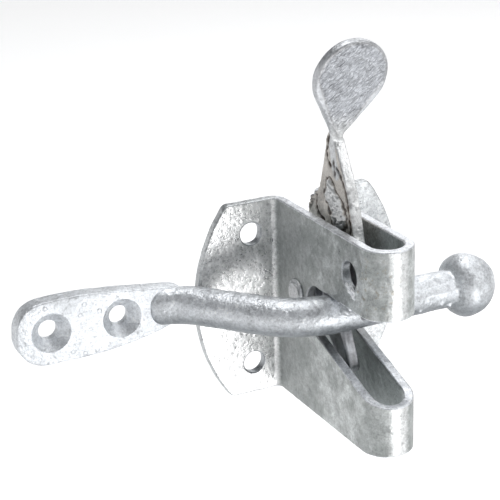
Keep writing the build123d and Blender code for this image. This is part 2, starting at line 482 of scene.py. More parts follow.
@dataclass
class CatchBody:
    """The catch, cut flat from strip with its holes and mouth, and then folded."""

    thickness: float = 3.0
    height: float = 65.0
    fold_radius: float = 2.0
    wall_gap: float = 10.5
    projection: float = 64.7
    flange_corner_half_width: float = 25.5
    flange_half_width: float = 36.5
    flange_corner_radius: float = 2.5
    screw_radius: float = 3.6
    screw_place: Point = (17.2, 22.0)
    mouth_roof: float = 10.9
    mouth_back: float = -22.6
    mouth_lip: float = -17.0
    ramp_angle: float = 18.2
    mouth_corner_radius: float = 6.4
    padlock_place: Point = (-49.3, 21.6)
    padlock_radius: float = 4.3
    rivet_place: Point = (-16.2, 5.0)
    rivet_radius: float = 3.2
    edge_softness: float = 0.5
    outline_step: float = 1.4
    outline_waver: Wave = (0.16, 3.2)
    fold_steps: int = 10
    nose_steps: int = 14
    bulge_steps: int = 32
    flange_corner_steps: int = 5

    @property
    def middle_radius(self) -> float:
        """Radius of the strip's middle round the front."""
        return (self.wall_gap + self.thickness) / 2

    @property
    def front_centre(self) -> float:
        """Y of the centre of the front fold."""
        return self.middle_radius + self.thickness / 2 - self.projection

    @property
    def bend_radius(self) -> float:
        """Radius of the strip's middle where a wall turns into its flange."""
        return self.fold_radius + self.thickness / 2

    @property
    def marks(self) -> Triple:
        """How far along the strip, from the front, its wall, bend and flange begin.

        Returns:
            The three distances.
        """
        wall = self.middle_radius * math.pi / 2
        bend = wall - self.thickness / 2 - self.bend_radius - self.front_centre
        return wall, bend, bend + self.bend_radius * math.pi / 2

    def along_wall(self, y: float) -> float:
        """How far along the strip a place on a wall is."""
        return self.marks[0] + y - self.front_centre

    def along_flange(self, x: float) -> float:
        """How far along the strip a place on a flange is."""
        return self.marks[2] + x - self.middle_radius - self.bend_radius

    def folded(self, flat: Vector) -> Vector:
        """Where a point of the flat blank lies once the strip is folded.

        Args:
            flat: Distance along the strip from the front, distance out from its middle, height.

        Returns:
            The point in the frame.
        """
        wall, bend, flange = self.marks
        side, along = math.copysign(1, flat.x), abs(flat.x)
        if along < wall:
            angle = along / self.middle_radius
            reach = self.middle_radius + flat.y
            ahead = self.front_centre - reach * math.cos(angle)
            return Vector((side * reach * math.sin(angle), ahead, flat.z))
        if along < bend:
            return Vector((side * (self.middle_radius + flat.y), self.front_centre + along - wall, flat.z))
        bend_centre = (self.middle_radius + self.bend_radius, self.front_centre + bend - wall)
        if along < flange:
            angle = (along - bend) / self.bend_radius
            reach = self.bend_radius - flat.y
            out = bend_centre[0] - reach * math.cos(angle)
            return Vector((side * out, bend_centre[1] + reach * math.sin(angle), flat.z))
        out = bend_centre[0] + along - flange
        return Vector((side * out, bend_centre[1] + self.bend_radius - flat.y, flat.z))

    def blank_outline(self) -> list[Point]:
        """The outer edge of the flat blank, whose ends bulge.

        Returns:
            The outline.
        """
        half = self.height / 2
        corner = self.along_flange(self.flange_corner_half_width)
        tip = self.along_flange(self.flange_half_width)
        bulge = arc_through((corner, -half), (tip, 0), (corner, half), self.bulge_steps)
        lower = Vector(bulge[1]) - Vector(bulge[0])
        opening = math.pi - lower.angle(SIDEWAYS.xy)
        setback = self.flange_corner_radius / math.tan(opening / 2)
        trimmed = [p for p in bulge if half - abs(p[1]) > setback * math.sin(opening)]
        right = [(corner - setback, -half), *trimmed, (corner - setback, half)]
        eased = rounded(
            [(right[0], 0), ((corner, -half), self.flange_corner_radius), *[(p, 0) for p in trimmed]]
            + [((corner, half), self.flange_corner_radius), (right[-1], 0)],
            self.flange_corner_steps,
        )
        return eased + [(-along, height) for along, height in reversed(eased)]

    def mouth_outline(self) -> list[Point]:
        """The mouth in the flat blank: a level roof, round corners at the back and a ramp below.

        Returns:
            The outline.
        """
        slope = math.tan(math.radians(self.ramp_angle))

        def ramp(y: float) -> float:
            """The ramp's height at a place along a wall."""
            return self.mouth_lip + slope * (self.projection + y)

        wall_front = self.front_centre
        side = rounded(
            [
                ((wall_front, self.mouth_roof), 0),
                ((self.mouth_back, self.mouth_roof), self.mouth_corner_radius),
                ((self.mouth_back, ramp(self.mouth_back)), self.mouth_corner_radius),
                ((wall_front, ramp(wall_front)), 0),
            ]
        )
        right = [(self.along_wall(y), z) for y, z in side]
        for k in range(1, self.nose_steps):
            share = 1 - k / self.nose_steps
            angle = share * math.pi / 2
            y = self.front_centre - self.middle_radius * math.cos(angle)
            right.append((share * self.marks[0], ramp(y)))
        nose = (0.0, ramp(self.front_centre - self.middle_radius))
        return right + [nose] + [(-along, height) for along, height in reversed(right)]

    def hole_outlines(self) -> list[list[Point]]:
        """The round holes of the flat blank.

        Returns:
            One outline for each hole.
        """
        screw_x, screw_z = self.screw_place
        centres = [((self.along_flange(screw_x), z), self.screw_radius) for z in (-screw_z, screw_z)]
        padlock_y, padlock_z = self.padlock_place
        centres.append(((self.along_wall(padlock_y), padlock_z), self.padlock_radius))
        rivet_y, rivet_z = self.rivet_place
        centres.append(((self.along_wall(rivet_y), rivet_z), self.rivet_radius))
        return [
            arc((side * centre[0], centre[1]), radius, 0, 360, ROUND_STEPS)[:-1]
            for centre, radius in centres
            for side in (-1, 1)
        ]

    def build(self, material: bpy.types.Material) -> bpy.types.Object:
        """Cuts, softens and folds the blank.

        Args:
            material: The finish of the strip.

        Returns:
            The catch, which stands for its solid.
        """
        work = Workpiece()
        outlines = []
        holes = self.hole_outlines()
        for index, drawn in enumerate([self.blank_outline(), self.mouth_outline(), *holes]):
            outline = metal_on_left(spaced(drawn, self.outline_step), hole=index > 0)
            outlines.append(wavered(outline, self.outline_waver))

        def place(point: Point, height: float) -> Vector:
            """Where a point of the flat blank lies."""
            return Vector((point[0], height, point[1]))

        work.plate(outlines, self.thickness, self.edge_softness, place, drilled=len(holes))
        wall, bend, flange = self.marks
        cuts = [wall * k / self.nose_steps for k in range(1, self.nose_steps + 1)]
        cuts += [bend + (flange - bend) * k / self.fold_steps for k in range(self.fold_steps + 1)]
        for along in [0.0, *cuts, *[-cut for cut in cuts]]:
            bmesh.ops.bisect_plane(
                work.mesh,
                geom=work.mesh.verts[:] + work.mesh.edges[:] + work.mesh.faces[:],
                dist=SAME_PLACE,
                plane_co=SIDEWAYS * along,
                plane_no=SIDEWAYS,
            )
        for vert in work.mesh.verts:
            vert.co = self.folded(vert.co)
        bmesh.ops.triangulate(work.mesh, faces=work.mesh.faces[:], quad_method="BEAUTY", ngon_method="BEAUTY")
        work.face_outwards()
        catch = work.finish("catch_strip", Body.CATCH, Slot.STRIP, material)
        shade_evenly(catch)
        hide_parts("catch_body")
        return catch


@dataclass
class ZincDrip:
    """The drip of zinc that froze at the lower edge of the padlock hole, outside the left wall."""

    wall_outer: float = -8.25
    blobs: tuple[Triple, ...] = (
        (-47.9, 18.3, 0.8),
        (-49.2, 17.8, 1.1),
        (-50.4, 17.7, 1.2),
        (-51.6, 17.4, 1.0),
        (-50.6, 16.6, 1.1),
        (-51.9, 16.1, 0.9),
        (-52.5, 15.4, 0.6),
        (-49.5, 16.6, 0.7),
    )
    flatness: float = 0.4
    voxel: float = 0.12
    smoothings: int = 3
    wave: Wave = (0.3, 0.8)

    def build(self, material: bpy.types.Material) -> bpy.types.Object:
        """Runs a few blobs together.

        Args:
            material: The finish of the drip.

        Returns:
            The drip, which sits on the catch.
        """
        work = Workpiece()
        for y, z, radius in self.blobs:
            place = Matrix.Translation((self.wall_outer, y, z)) @ Matrix.Diagonal((self.flatness, 1, 1, 1))
            bmesh.ops.create_icosphere(work.mesh, subdivisions=BALL_FINENESS, radius=radius, matrix=place)
        work.fuse(self.voxel, self.smoothings)
        work.undulate(self.wave)
        return work.finish("zinc_drip", Body.CATCH, Slot.STRIP, material)


@dataclass
class PivotRivet:
    """The rivet, with a low pressed head outside each wall."""

    place: Point = (-16.2, 5.0)
    shank_radius: float = 3.2
    head_radius: float = 4.5
    head_height: float = 1.3
    disc_radius: float = 3.4
    ring_height: float = 0.6
    edge_radius: float = 0.4
    wall_outer: float = 8.25

    def build(self, material: bpy.types.Material) -> bpy.types.Object:
        """Turns the rivet on its axis.

        Args:
            material: The finish of the rivet.

        Returns:
            The rivet, which stands for its solid.
        """
        top = self.wall_outer + self.head_height
        edge = self.edge_radius
        ring_top = self.wall_outer + self.ring_height
        ring = arc((ring_top - edge, self.head_radius - edge), edge, 90, 0, RIM_STEPS)
        disc = arc((top - edge, self.disc_radius - edge), edge, 90, 0, RIM_STEPS)
        half = [(self.wall_outer, self.shank_radius), (self.wall_outer, self.head_radius), *ring]
        half += [(ring_top, self.disc_radius), *disc, (top, 0.0)]
        profile = [(-along, radius) for along, radius in reversed(half)] + half
        work = Workpiece()
        work.turned(profile, Vector((0, *self.place)), SIDEWAYS, LATHE_STEPS)
        work.face_outwards()
        rivet = work.finish("rivet", Body.CATCH, Slot.RIVET, material)
        shade_evenly(rivet)
        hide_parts("pivot_rivet")
        return rivet


@dataclass
class Wear:
    """What fire, hammer and zinc did to one spot of the lever's skin, with the painted light and shade that
    ride on the same marks.
    """

    soot_and_shade: float = 0.0
    bright: float = 0.0
    hammered: float = 0.0
    scorched: float = 0.0
    raised: float = 0.0


@dataclass
class LatchLever:
    """The forged lever: plate, claw, eye, twisted neck and thumb pad, hammered and dipped."""

    pivot: Point = (-16.2, 5.0)
    thickness: float = 4.0
    eye_radius: float = 6.3
    eye_half_width: float = 4.95
    bore_radius: float = 3.4
    neck: Point = (-28.3, 59.6)
    lean: float = 15.5
    bar_centre: Point = (-36.3, 4.6)
    claw_radius: float = 6.6
    roof: float = 11.05
    roof_radius: float = 3.0
    jaw_inner: float = -44.2
    jaw_depth: float = 3.2
    jaw_tip_radius: float = 1.4
    horn_angle: float = 62.0
    horn_length: float = 16.0
    horn_tip_radius: float = 2.4
    chest: Point = (-41.0, 30.0)
    breast: Point = (-36.7, 43.3)
    top_front: Point = (-29.2, 57.0)
    top_back: Point = (-25.2, 57.0)
    waist_back: Point = (-20.4, 40.5)
    flare_back: Point = (-13.0, 30.3)
    pad_thickness: float = 3.0
    pad_radius: float = 12.1
    pad_rise: float = 17.4
    pad_root_radius: float = 2.2
    pad_side_lean: float = 6.5
    pad_edge: float = 0.7
    plate_edge: float = 0.6
    neck_width: Span = (4.0, 2.7)
    neck_depth: Span = (4.2, 7.6)
    neck_overlap: float = 2.4
    neck_head_rise: float = 4.8
    neck_steps: int = 12
    notch_steps: int = 12
    roof_steps: int = 6
    tip_steps: int = 8
    side_steps: int = 10
    voxel: float = 0.3
    smoothings: int = 3
    wave: Wave = (0.14, 4.5)
    square_on: Span = (0.5, 0.9)
    forward: Span = (0.0, 0.6)
    rim_fade: Span = (0.3, 1.5)
    rim_tone: float = 0.3
    # Painted shade: a thin dark line where the pad's face turns into its rounded edge.
    seam_inset: float = 0.7
    seam_width: float = 0.35
    seam_shade: float = 0.35
    tip_height: float = 8.0
    body_top: Span = (14.0, 30.0)
    blotch_pitch: float = 3.5
    side_soot: Span = (0.08, 0.42)
    # Soot blotches and painted shade on the part of the plate that sits inside the catch.
    hidden_soot_and_shade: Span = (-0.05, 0.65)
    side_wave: Wave = (0.1, 1.1)
    clean_run: tuple[Point, ...] = ((-28.2, 59.6), (-28.8, 53.0), (-31.0, 46.5))
    clean_radius: float = 1.9
    clean_edge: Span = (0.7, 1.1)
    clean_tone: float = 0.6
    crack_width: float = 0.5
    crack_swing: Wave = (1.2, 1.5)
    crack_depth: float = 0.5
    crack_soot: float = 1.3
    crack_shade: Wave = (1.3, 2.3)
    cracks: tuple[tuple[Point, ...], ...] = (
        ((-26.6, 58.4), (-25.9, 54.0), (-25.0, 52.5), (-25.4, 50.2), (-27.6, 48.3)),
        ((-29.4, 50.3), (-29.9, 46.1)),
        (
            (-31.2, 48.6),
            (-33.6, 46.4),
            (-35.6, 43.4),
            (-37.2, 39.9),
            (-38.2, 36.3),
            (-38.9, 32.7),
            (-39.2, 28.5),
        ),
        ((-25.2, 43.6), (-26.2, 40.2), (-27.4, 36.8), (-29.6, 33.2), (-31.4, 31.0)),
        ((-18.6, 36.6), (-18.2, 33.8), (-19.6, 31.2), (-23.2, 30.0)),
    )
    lump: tuple[Point, ...] = ((-27.0, 42.0), (-29.6, 38.4), (-31.0, 36.0), (-32.2, 33.6))
    lump_radius: Span = (2.2, 4.3)
    lump_edge: Wave = (0.25, 1.4)
    lump_height: float = 0.9
    lump_fill: float = 0.6
    lump_wave: Wave = (1.3, 0.9)
    lump_rim: Span = (0.8, 1.0)
    ditch_reach: float = 1.25
    ditch_soot: float = 0.9
    ditch_depth: float = 0.2
    flake: tuple[Point, ...] = ((-17.6, 37.2), (-16.4, 34.2), (-15.2, 31.4))
    flake_radius: float = 1.6
    flake_height: float = 1.0
    flake_fill: float = 0.8
    flake_wave: Wave = (0.7, 0.8)
    flake_soot: float = 0.2
    flake_rearward: float = 0.2
    flake_side: float = 1.0

    def plate_outline(self) -> list[Point]:
        """The plate's edge in Y and Z, from the horn round the claw and back over the top.

        Returns:
            The outline.
        """
        bar_y, bar_z = self.bar_centre
        angle = math.radians(self.horn_angle)
        down, back = math.cos(angle), math.sin(angle)
        root = (bar_y + self.claw_radius * back, bar_z - self.claw_radius * down)
        end = (root[0] - self.horn_length * down, root[1] - self.horn_length * back)
        tip = (end[0] + self.horn_tip_radius * back, end[1] - self.horn_tip_radius * down)
        notch_end = math.degrees(math.asin((self.roof - bar_z) / self.claw_radius))
        notch = arc(self.bar_centre, self.claw_radius, self.horn_angle - 90, notch_end, self.notch_steps)
        roof_centre = (self.jaw_inner + self.roof_radius, self.roof - self.roof_radius)
        jaw_centre = (self.jaw_inner - self.jaw_tip_radius, bar_z + self.jaw_tip_radius)
        jaw = arc(roof_centre, self.roof_radius, 90, 180, self.roof_steps)
        jaw += arc(jaw_centre, self.jaw_tip_radius, 0, -180, self.tip_steps)
        jaw.append((self.jaw_inner - self.jaw_depth, self.roof + self.roof_radius))
        front = arc_through(self.chest, self.breast, self.top_front, self.side_steps)
        rear = [self.top_back, self.waist_back, self.flare_back]
        heel = arc(self.pivot, self.eye_radius, 0, -90, self.tip_steps)
        horn = arc(tip, self.horn_tip_radius, -self.horn_angle / 2, self.horn_angle - 270, self.side_steps)
        return notch + jaw + front + rear + heel + horn

    def leaning(self) -> tuple[Vector, Vector]:
        """The way up along the neck and the pad, which lean back, and the way out of their front."""
        lean = math.radians(self.lean)
        return Vector((0, -math.sin(lean), math.cos(lean))), Vector((0, -math.cos(lean), -math.sin(lean)))

    def pad_frame(self) -> Matrix:
        """The pad's plane: x across it, y up it and z out of its front.

        Returns:
            What brings a point of the plane to the frame.
        """
        up, front = self.leaning()
        basis = Matrix((SIDEWAYS, up, front)).transposed().to_4x4()
        turn = Matrix.Rotation(math.radians(-self.pad_side_lean), 4, front)
        return Matrix.Translation((0, *self.neck)) @ turn @ basis

    def add_pad(self, work: Workpiece) -> None:
        """Adds the leaf-shaped thumb pad.

        Args:
            work: The lever's shells so far.
        """
        slope = math.degrees(math.asin((self.pad_radius - self.pad_root_radius) / self.pad_rise))
        leaf = arc((0, self.pad_rise), self.pad_radius, -slope, 180 + slope, ROUND_STEPS)
        leaf += arc((0, 0), self.pad_root_radius, 180 + slope, 360 - slope, self.tip_steps)
        frame = self.pad_frame()

        def place(point: Point, height: float) -> Vector:
            """Where a point of the leaf lies."""
            return frame @ Vector((*point, height))

        work.plate([leaf], self.pad_thickness, self.pad_edge, place)

    def add_neck(self, work: Workpiece) -> None:
        """Adds the neck, which turns by a quarter from the plate to the pad.

        Args:
            work: The lever's shells so far.
        """
        up, front = self.leaning()
        middle = (self.top_front[0] + self.top_back[0]) / 2
        foot = Vector((0, middle, self.top_back[1])) - up * self.neck_overlap
        head = self.pad_frame() @ Vector((0, self.neck_head_rise, 0))

        def section(share: float) -> Matrix:
            """The neck's section on its way from the plate to the pad.

            Args:
                share: How far along the neck it is, from 0 to 1.

            Returns:
                What brings a square with sides of 1 to the section.
            """
            twist = math.radians(90) * smooth_step(0, 1, share)
            across = SIDEWAYS * math.cos(twist) + front * math.sin(twist)
            basis = Matrix((across, up.cross(across), up)).transposed().to_4x4()
            scale = Matrix.Diagonal((between(self.neck_width, share), between(self.neck_depth, share), 1, 1))
            return Matrix.Translation(foot.lerp(head, share)) @ basis @ scale

        start = bmesh.ops.create_grid(work.mesh, x_segments=1, y_segments=1, size=1 / 2, matrix=section(0))
        faces = list({f for v in start["verts"] for f in v.link_faces})
        for step in range(1, self.neck_steps + 1):
            raised = bmesh.ops.extrude_face_region(work.mesh, geom=faces)
            faces = [g for g in raised["geom"] if isinstance(g, bmesh.types.BMFace)]
            verts = [g for g in raised["geom"] if isinstance(g, bmesh.types.BMVert)]
            before, after = section((step - 1) / self.neck_steps), section(step / self.neck_steps)
            bmesh.ops.transform(work.mesh, matrix=after @ before.inverted(), verts=verts)

    def leaf_inset(self, spot: Vector) -> float:
        """How far inside the pad's rim a spot is.

        Args:
            spot: The spot in the pad's own frame.

        Returns:
            The distance, below 0 outside.
        """
        share = min(1.0, max(0.0, spot.y / self.pad_rise))
        reach = between((self.pad_root_radius, self.pad_radius), share)
        return reach - math.hypot(spot.x, spot.y - share * self.pad_rise)

    def pad_wear(self, spot: Vector, normal: Vector, forward: float) -> Wear:
        """The wear on the pad: hammered faces, a paler rim with a thin dark seam of painted shade where the
        face turns into its edge, and a root painted bright where it faces forward (painted light).

        Args:
            spot: The spot in the pad's own frame.
            normal: The way out of the skin there, in that frame.
            forward: How far the skin faces forward there.

        Returns:
            The wear.
        """
        inset = self.leaf_inset(spot)
        inside = smooth_step(*self.rim_fade, inset)
        # Painted light: the pad's root is toned bright where it faces forward.
        root = 1 - smooth_step(-self.neck_overlap, self.tip_height, spot.y)
        seam = (inset - self.seam_inset) / self.seam_width
        return Wear(
            # Painted shade along the seam between the face and its edge.
            soot_and_shade=self.seam_shade * math.exp(-seam * seam),
            bright=max((1 - inside) * self.rim_tone, root * smooth_step(*self.forward, forward)),
            hammered=inside * smooth_step(*self.square_on, abs(normal.z)),
        )

    def crack(self, wear: Wear, spot: Vector) -> None:
        """Adds the cracks of the burnt left side, with soot in them.

        Args:
            wear: The spot's wear so far.
            spot: The spot in the frame.
        """
        width = self.crack_width * (1 + ripple(spot, self.crack_swing))
        gap = min(distance_to_line(tuple(spot.yz), crack) for crack in self.cracks) / width
        groove = math.exp(-gap * gap)
        wear.soot_and_shade = max(wear.soot_and_shade, min(1.0, (self.crack_soot + ripple(spot, self.crack_shade)) * groove))
        wear.bright *= 1 - groove
        wear.raised -= self.crack_depth * groove

    def freeze_lump(self, wear: Wear, spot: Vector, side: float) -> None:
        """Adds the lump of zinc that froze on the left side, with a dark ditch round it.

        Args:
            wear: The spot's wear so far.
            spot: The spot in the frame.
            side: How squarely the skin faces sideways there.
        """
        radius = between(self.lump_radius, smooth_step(self.lump[0][1], self.lump[1][1], spot.z))
        away = distance_to_line(tuple(spot.yz), self.lump) / radius + ripple(spot, self.lump_edge)
        if away < 1:
            swell = math.sqrt(1 - max(0.0, away) ** 2) * (self.lump_fill + ripple(spot, self.lump_wave))
            wear.raised += side * self.lump_height * swell
            outer = smooth_step(*self.lump_rim, away)
            wear.soot_and_shade *= outer
            wear.bright = 1 - outer
        elif away < self.ditch_reach:
            wear.soot_and_shade = max(wear.soot_and_shade, self.ditch_soot)
            wear.raised -= self.ditch_depth

    def tear_flake(self, wear: Wear, spot: Vector) -> None:
        """Adds the flake of zinc that stands off the back edge.

        Args:
            wear: The spot's wear so far.
            spot: The spot in the frame.
        """
        away = distance_to_line(tuple(spot.yz), self.flake) / self.flake_radius
        if away < 1:
            ragged = self.flake_fill + ripple(spot, self.flake_wave)
            wear.raised += self.flake_height * (1 - away * away) * ragged
            wear.soot_and_shade = min(wear.soot_and_shade, self.flake_soot)

    def plate_wear(self, spot: Vector, normal: Vector) -> Wear:
        """The wear below the pad: burnt sides, front edges painted bright where they face forward (painted
        light), soot with painted shade on the part inside the catch, a clean neck and the left side's scars.

        Args:
            spot: The spot in the frame.
            normal: The way out of the skin there.

        Returns:
            The wear.
        """
        side = smooth_step(*self.square_on, abs(normal.x))
        blotch = (1 + noise.noise(spot / self.blotch_pitch + SIDEWAYS * spot.x)) / 2
        open_air = smooth_step(*self.body_top, spot.z)
        from_clean = distance_to_line(tuple(spot.yz), self.clean_run) / self.clean_radius
        burnt = smooth_step(*self.clean_edge, from_clean)
        # Soot on the burnt sides; below the body top, soot blotches with painted shade where the plate sits
        # inside the catch.
        soot_and_shade = max(side * between(self.side_soot, blotch), (1 - open_air) * between(self.hidden_soot_and_shade, blotch))
        # Painted light: edges above the catch that face forward are toned bright.
        lit_front_edge = (1 - side) * smooth_step(*self.forward, -normal.y) * open_air
        wear = Wear(
            soot_and_shade=soot_and_shade * burnt,
            bright=max(lit_front_edge, side * open_air * (1 - burnt) * self.clean_tone),
            scorched=side * open_air * burnt,
            raised=side * ripple(spot, self.side_wave),
        )
        if spot.x < 0:
            self.crack(wear, spot)
            if side > 0:
                self.freeze_lump(wear, spot, side)
        if normal.y > self.flake_rearward and spot.x < self.flake_side:
            self.tear_flake(wear, spot)
        return wear

    def weather(self, work: Workpiece) -> None:
        """Works the skin and leaves the marks that the finish reads.

        Args:
            work: The fused lever.
        """
        layers = work.mesh.verts.layers.float
        soot_and_shade, bright, hammered, scorched = (layers.new(n) for n in (SOOT_AND_SHADE, BRIGHT, HAMMERED, SCORCHED))
        to_pad = self.pad_frame().inverted()
        work.mesh.normal_update()
        for vert in work.mesh.verts:
            on_pad = to_pad @ vert.co
            if on_pad.y > -self.neck_overlap:
                wear = self.pad_wear(on_pad, to_pad.to_3x3() @ vert.normal, -vert.normal.y)
            else:
                wear = self.plate_wear(vert.co, vert.normal)
            vert[soot_and_shade], vert[bright] = wear.soot_and_shade, wear.bright
            vert[hammered], vert[scorched] = wear.hammered, wear.scorched
            vert.co += vert.normal * wear.raised

    def build(self, material: bpy.types.Material) -> bpy.types.Object:
        """Forges the lever from its shells and works its skin.

        Args:
            material: The finish of the lever.

        Returns:
            The lever, which stands for its solid.
        """

        def place(point: Point, height: float) -> Vector:
            """Where a point of the plate lies."""
            return Vector((height, *point))

        def round_bar(half_width: float, radius: float) -> list[Point]:
            """The profile of a round bar on the pivot's axis."""
            return [(-half_width, 0.0), (-half_width, radius), (half_width, radius), (half_width, 0.0)]

        work, tool = Workpiece(), Workpiece()
        pivot = Vector((0, *self.pivot))
        work.plate([self.plate_outline()], self.thickness, self.plate_edge, place)
        self.add_neck(work)
        self.add_pad(work)
        work.turned(round_bar(self.eye_half_width, self.eye_radius), pivot, SIDEWAYS, ROUND_STEPS)
        work.face_outwards()
        work.fuse(self.voxel, self.smoothings)
        work.undulate(self.wave)
        self.weather(work)
        bore = round_bar(self.eye_half_width + TOOL_PAST, self.bore_radius)
        tool.turned(bore, pivot, SIDEWAYS, ROUND_STEPS)
        tool.face_outwards()
        work.carve(tool)
        lever = work.finish("lever", Body.LEVER, Slot.LEVER, material)
        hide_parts("latch_lever")
        return lever


@dataclass
class StrikerBar:
    """The forged striker: a cranked round bar with a domed head and a flat palm."""

    radius: float = 6.0
    root: Point = (-53.5, -6.0)
    root_rounding: float = 4.5
    root_fall: Span = (-41.0, -53.0)
    root_sink: float = 0.34
    bar_y: float = -36.3
    bar_z: float = 4.6
    crank_angle: float = 50.8
    crank_corner: float = -17.5
    front_radius: float = 26.0
    back_radius: float = 12.0
    head_radius: float = 10.1
    head_centre: float = 40.3
    rim: float = 39.3
    collar: float = 34.8
    collar_rise: float = 2.6
    collar_lag: float = 0.65
    palm_thickness: float = 5.5
    palm_half_width: float = 10.2
    palm_z: float = 3.9
    palm_end: float = -96.4
    palm_end_radius: float = 9.2
    palm_shoulder: float = -76.0
    palm_flank: Point = (-57.4, 8.3)
    palm_root: float = -46.0
    palm_edge: float = 0.55
    palm_step: float = 1.5
    palm_waver: Wave = (0.2, 4.0)
    crease_angle: float = 30.0
    hole_radius: float = 3.1
    sink_radius: float = 6.3
    hole_places: tuple[float, float] = (-85.5, -62.7)
    back_steps: int = 12
    front_steps: int = 16
    root_steps: int = 6
    collar_steps: int = 10
    dome_steps: int = 24
    palm_steps: int = 12
    voxel: float = 0.36
    smoothings: int = 4
    waves: tuple[Wave, ...] = ((0.22, 9.0), (0.1, 2.6))
    shade: Span = (-0.2, 0.6)
    beads: tuple[Triple, ...] = (
        (34.6, 20.0, 0.5),
        (35.0, -6.0, 0.5),
        (32.2, -36.0, 0.8),
        (30.6, -42.0, 0.5),
        (29.0, -24.0, 0.65),
        (21.4, -34.0, 0.6),
    )

    def add_bar(self, work: Workpiece) -> None:
        """Adds the round bar, from its root over the crank to the head.

        Args:
            work: The striker's shells so far.
        """
        turn = math.radians(self.crank_angle)
        back_corner = self.crank_corner - (self.root[1] - self.bar_y) / math.tan(turn)
        tangent = math.tan(turn / 2)
        first_bend = back_corner - self.back_radius * tangent
        slope = Vector((math.cos(turn), -math.sin(turn), 0))
        leave = Vector((back_corner, self.root[1], self.bar_z)) + slope * (self.back_radius * tangent)
        arrive = Vector((self.crank_corner, self.bar_y, self.bar_z)) - slope * (self.front_radius * tangent)
        last_bend = self.crank_corner + self.front_radius * tangent
        facing = Matrix.Rotation(math.radians(90), 4, "Y")
        made = bmesh.ops.create_circle(
            work.mesh,
            cap_ends=True,
            radius=self.radius,
            segments=ROUND_STEPS,
            matrix=Matrix.Translation((self.root[0], self.root[1], self.bar_z)) @ facing,
        )
        root_ring = list(dict.fromkeys(e for v in made["verts"] for e in v.link_edges))

        def straight(edges: Edges, step: Vector) -> Edges:
            """Draws a ring of edges out in a straight run.

            Args:
                edges: The ring.
                step: How far and which way the run goes.

            Returns:
                The ring at the run's end.
            """
            drawn = bmesh.ops.extrude_edge_only(work.mesh, edges=edges)["geom"]
            verts = [g for g in drawn if isinstance(g, bmesh.types.BMVert)]
            bmesh.ops.translate(work.mesh, vec=step, verts=verts)
            return [g for g in drawn if isinstance(g, bmesh.types.BMEdge)]

        def bend(edges: Edges, centre: Vector, angle: float, steps: int) -> Edges:
            """Draws a ring of edges round a level bend.

            Args:
                edges: The ring.
                centre: The middle of the bend.
                angle: How far it turns.
                steps: How many straight parts stand for it.

            Returns:
                The ring at the bend's end.
            """
            verts = list(dict.fromkeys(v for e in edges for v in e.verts))
            drawn = bmesh.ops.spin(
                work.mesh, geom=verts + edges, cent=centre, axis=UPWARDS, angle=angle, steps=steps
            )
            return [g for g in drawn["geom_last"] if isinstance(g, bmesh.types.BMEdge)]

        back_centre = Vector((first_bend, self.root[1] - self.back_radius, 0))
        front_centre = Vector((last_bend, self.bar_y + self.front_radius, 0))
        ring = straight(root_ring, SIDEWAYS * (first_bend - self.root[0]))
        ring = bend(ring, back_centre, -turn, self.back_steps)
        ring = straight(ring, arrive - leave)
        ring = bend(ring, front_centre, turn, self.front_steps)
        ring = straight(ring, SIDEWAYS * (self.rim - last_bend))
        bmesh.ops.contextual_create(work.mesh, geom=ring)
        bmesh.ops.bevel(
            work.mesh,
            geom=root_ring,
            offset=self.root_rounding,
            offset_type="OFFSET",
            segments=self.root_steps,
            profile=0.5,
            affect="EDGES",
            material=-1,
            clamp_overlap=False,
        )

    def add_beads(self, work: Workpiece) -> None:
        """Adds the beads of zinc that froze on the straight part of the bar.

        Args:
            work: The striker's shells so far.
        """
        for along, angle, size in self.beads:
            turn = math.radians(angle)
            out, rise = self.radius * math.cos(turn), self.radius * math.sin(turn)
            place = Matrix.Translation((along, self.bar_y - out, self.bar_z + rise))
            bmesh.ops.create_icosphere(work.mesh, subdivisions=BALL_FINENESS, radius=size, matrix=place)

    def add_head(self, work: Workpiece) -> None:
        """Adds the head: a dome on a rounded collar.

        Args:
            work: The striker's shells so far.
        """
        rim_radius = math.sqrt(self.head_radius**2 - (self.head_centre - self.rim) ** 2)
        swell = ((self.collar + self.rim) / 2 - self.collar_lag, self.radius + self.collar_rise)
        collar = arc_through((self.collar, self.radius), swell, (self.rim, rim_radius), self.collar_steps)
        start = math.degrees(math.atan2(rim_radius, self.rim - self.head_centre))
        dome = arc((self.head_centre, 0), self.head_radius, start, 0, self.dome_steps)
        profile = [(self.collar, 0.0), *collar, *dome[1:-1], (self.head_centre + self.head_radius, 0.0)]
        work.turned(profile, Vector((0, self.bar_y, self.bar_z)), SIDEWAYS, LATHE_STEPS)

    def palm_outline(self) -> list[Point]:
        """The palm's edge in X and Z, with a tongue that reaches into the bar.

        Returns:
            The outline.
        """
        flank_x, flank = self.palm_flank
        half, end_radius, steps = self.palm_half_width, self.palm_end_radius, self.palm_steps
        upper = arc_through(
            (self.palm_shoulder, self.palm_z + half),
            (flank_x, self.palm_z + flank),
            (self.palm_root, self.bar_z + self.radius),
            steps,
        )
        lower = arc_through(
            (self.palm_root, self.bar_z - self.radius),
            (flank_x, self.palm_z - flank),
            (self.palm_shoulder, self.palm_z - half),
            steps,
        )
        tongue = arc((self.palm_root, self.bar_z), self.radius, 90, -90, steps)[1:-1]
        end_x = self.palm_end + end_radius
        end = arc((end_x, self.palm_z - half + end_radius), end_radius, -90, -180, steps)
        end += arc((end_x, self.palm_z + half - end_radius), end_radius, 180, 90, steps)
        return upper + tongue + lower + end

    def palm(self) -> Workpiece:
        """The palm with its two countersunk holes, as a workpiece of its own.

        Returns:
            The palm.
        """
        middle = -self.palm_thickness / 2

        def place(point: Point, height: float) -> Vector:
            """Where a point of the palm lies."""
            return Vector((point[0], middle + height, point[1]))

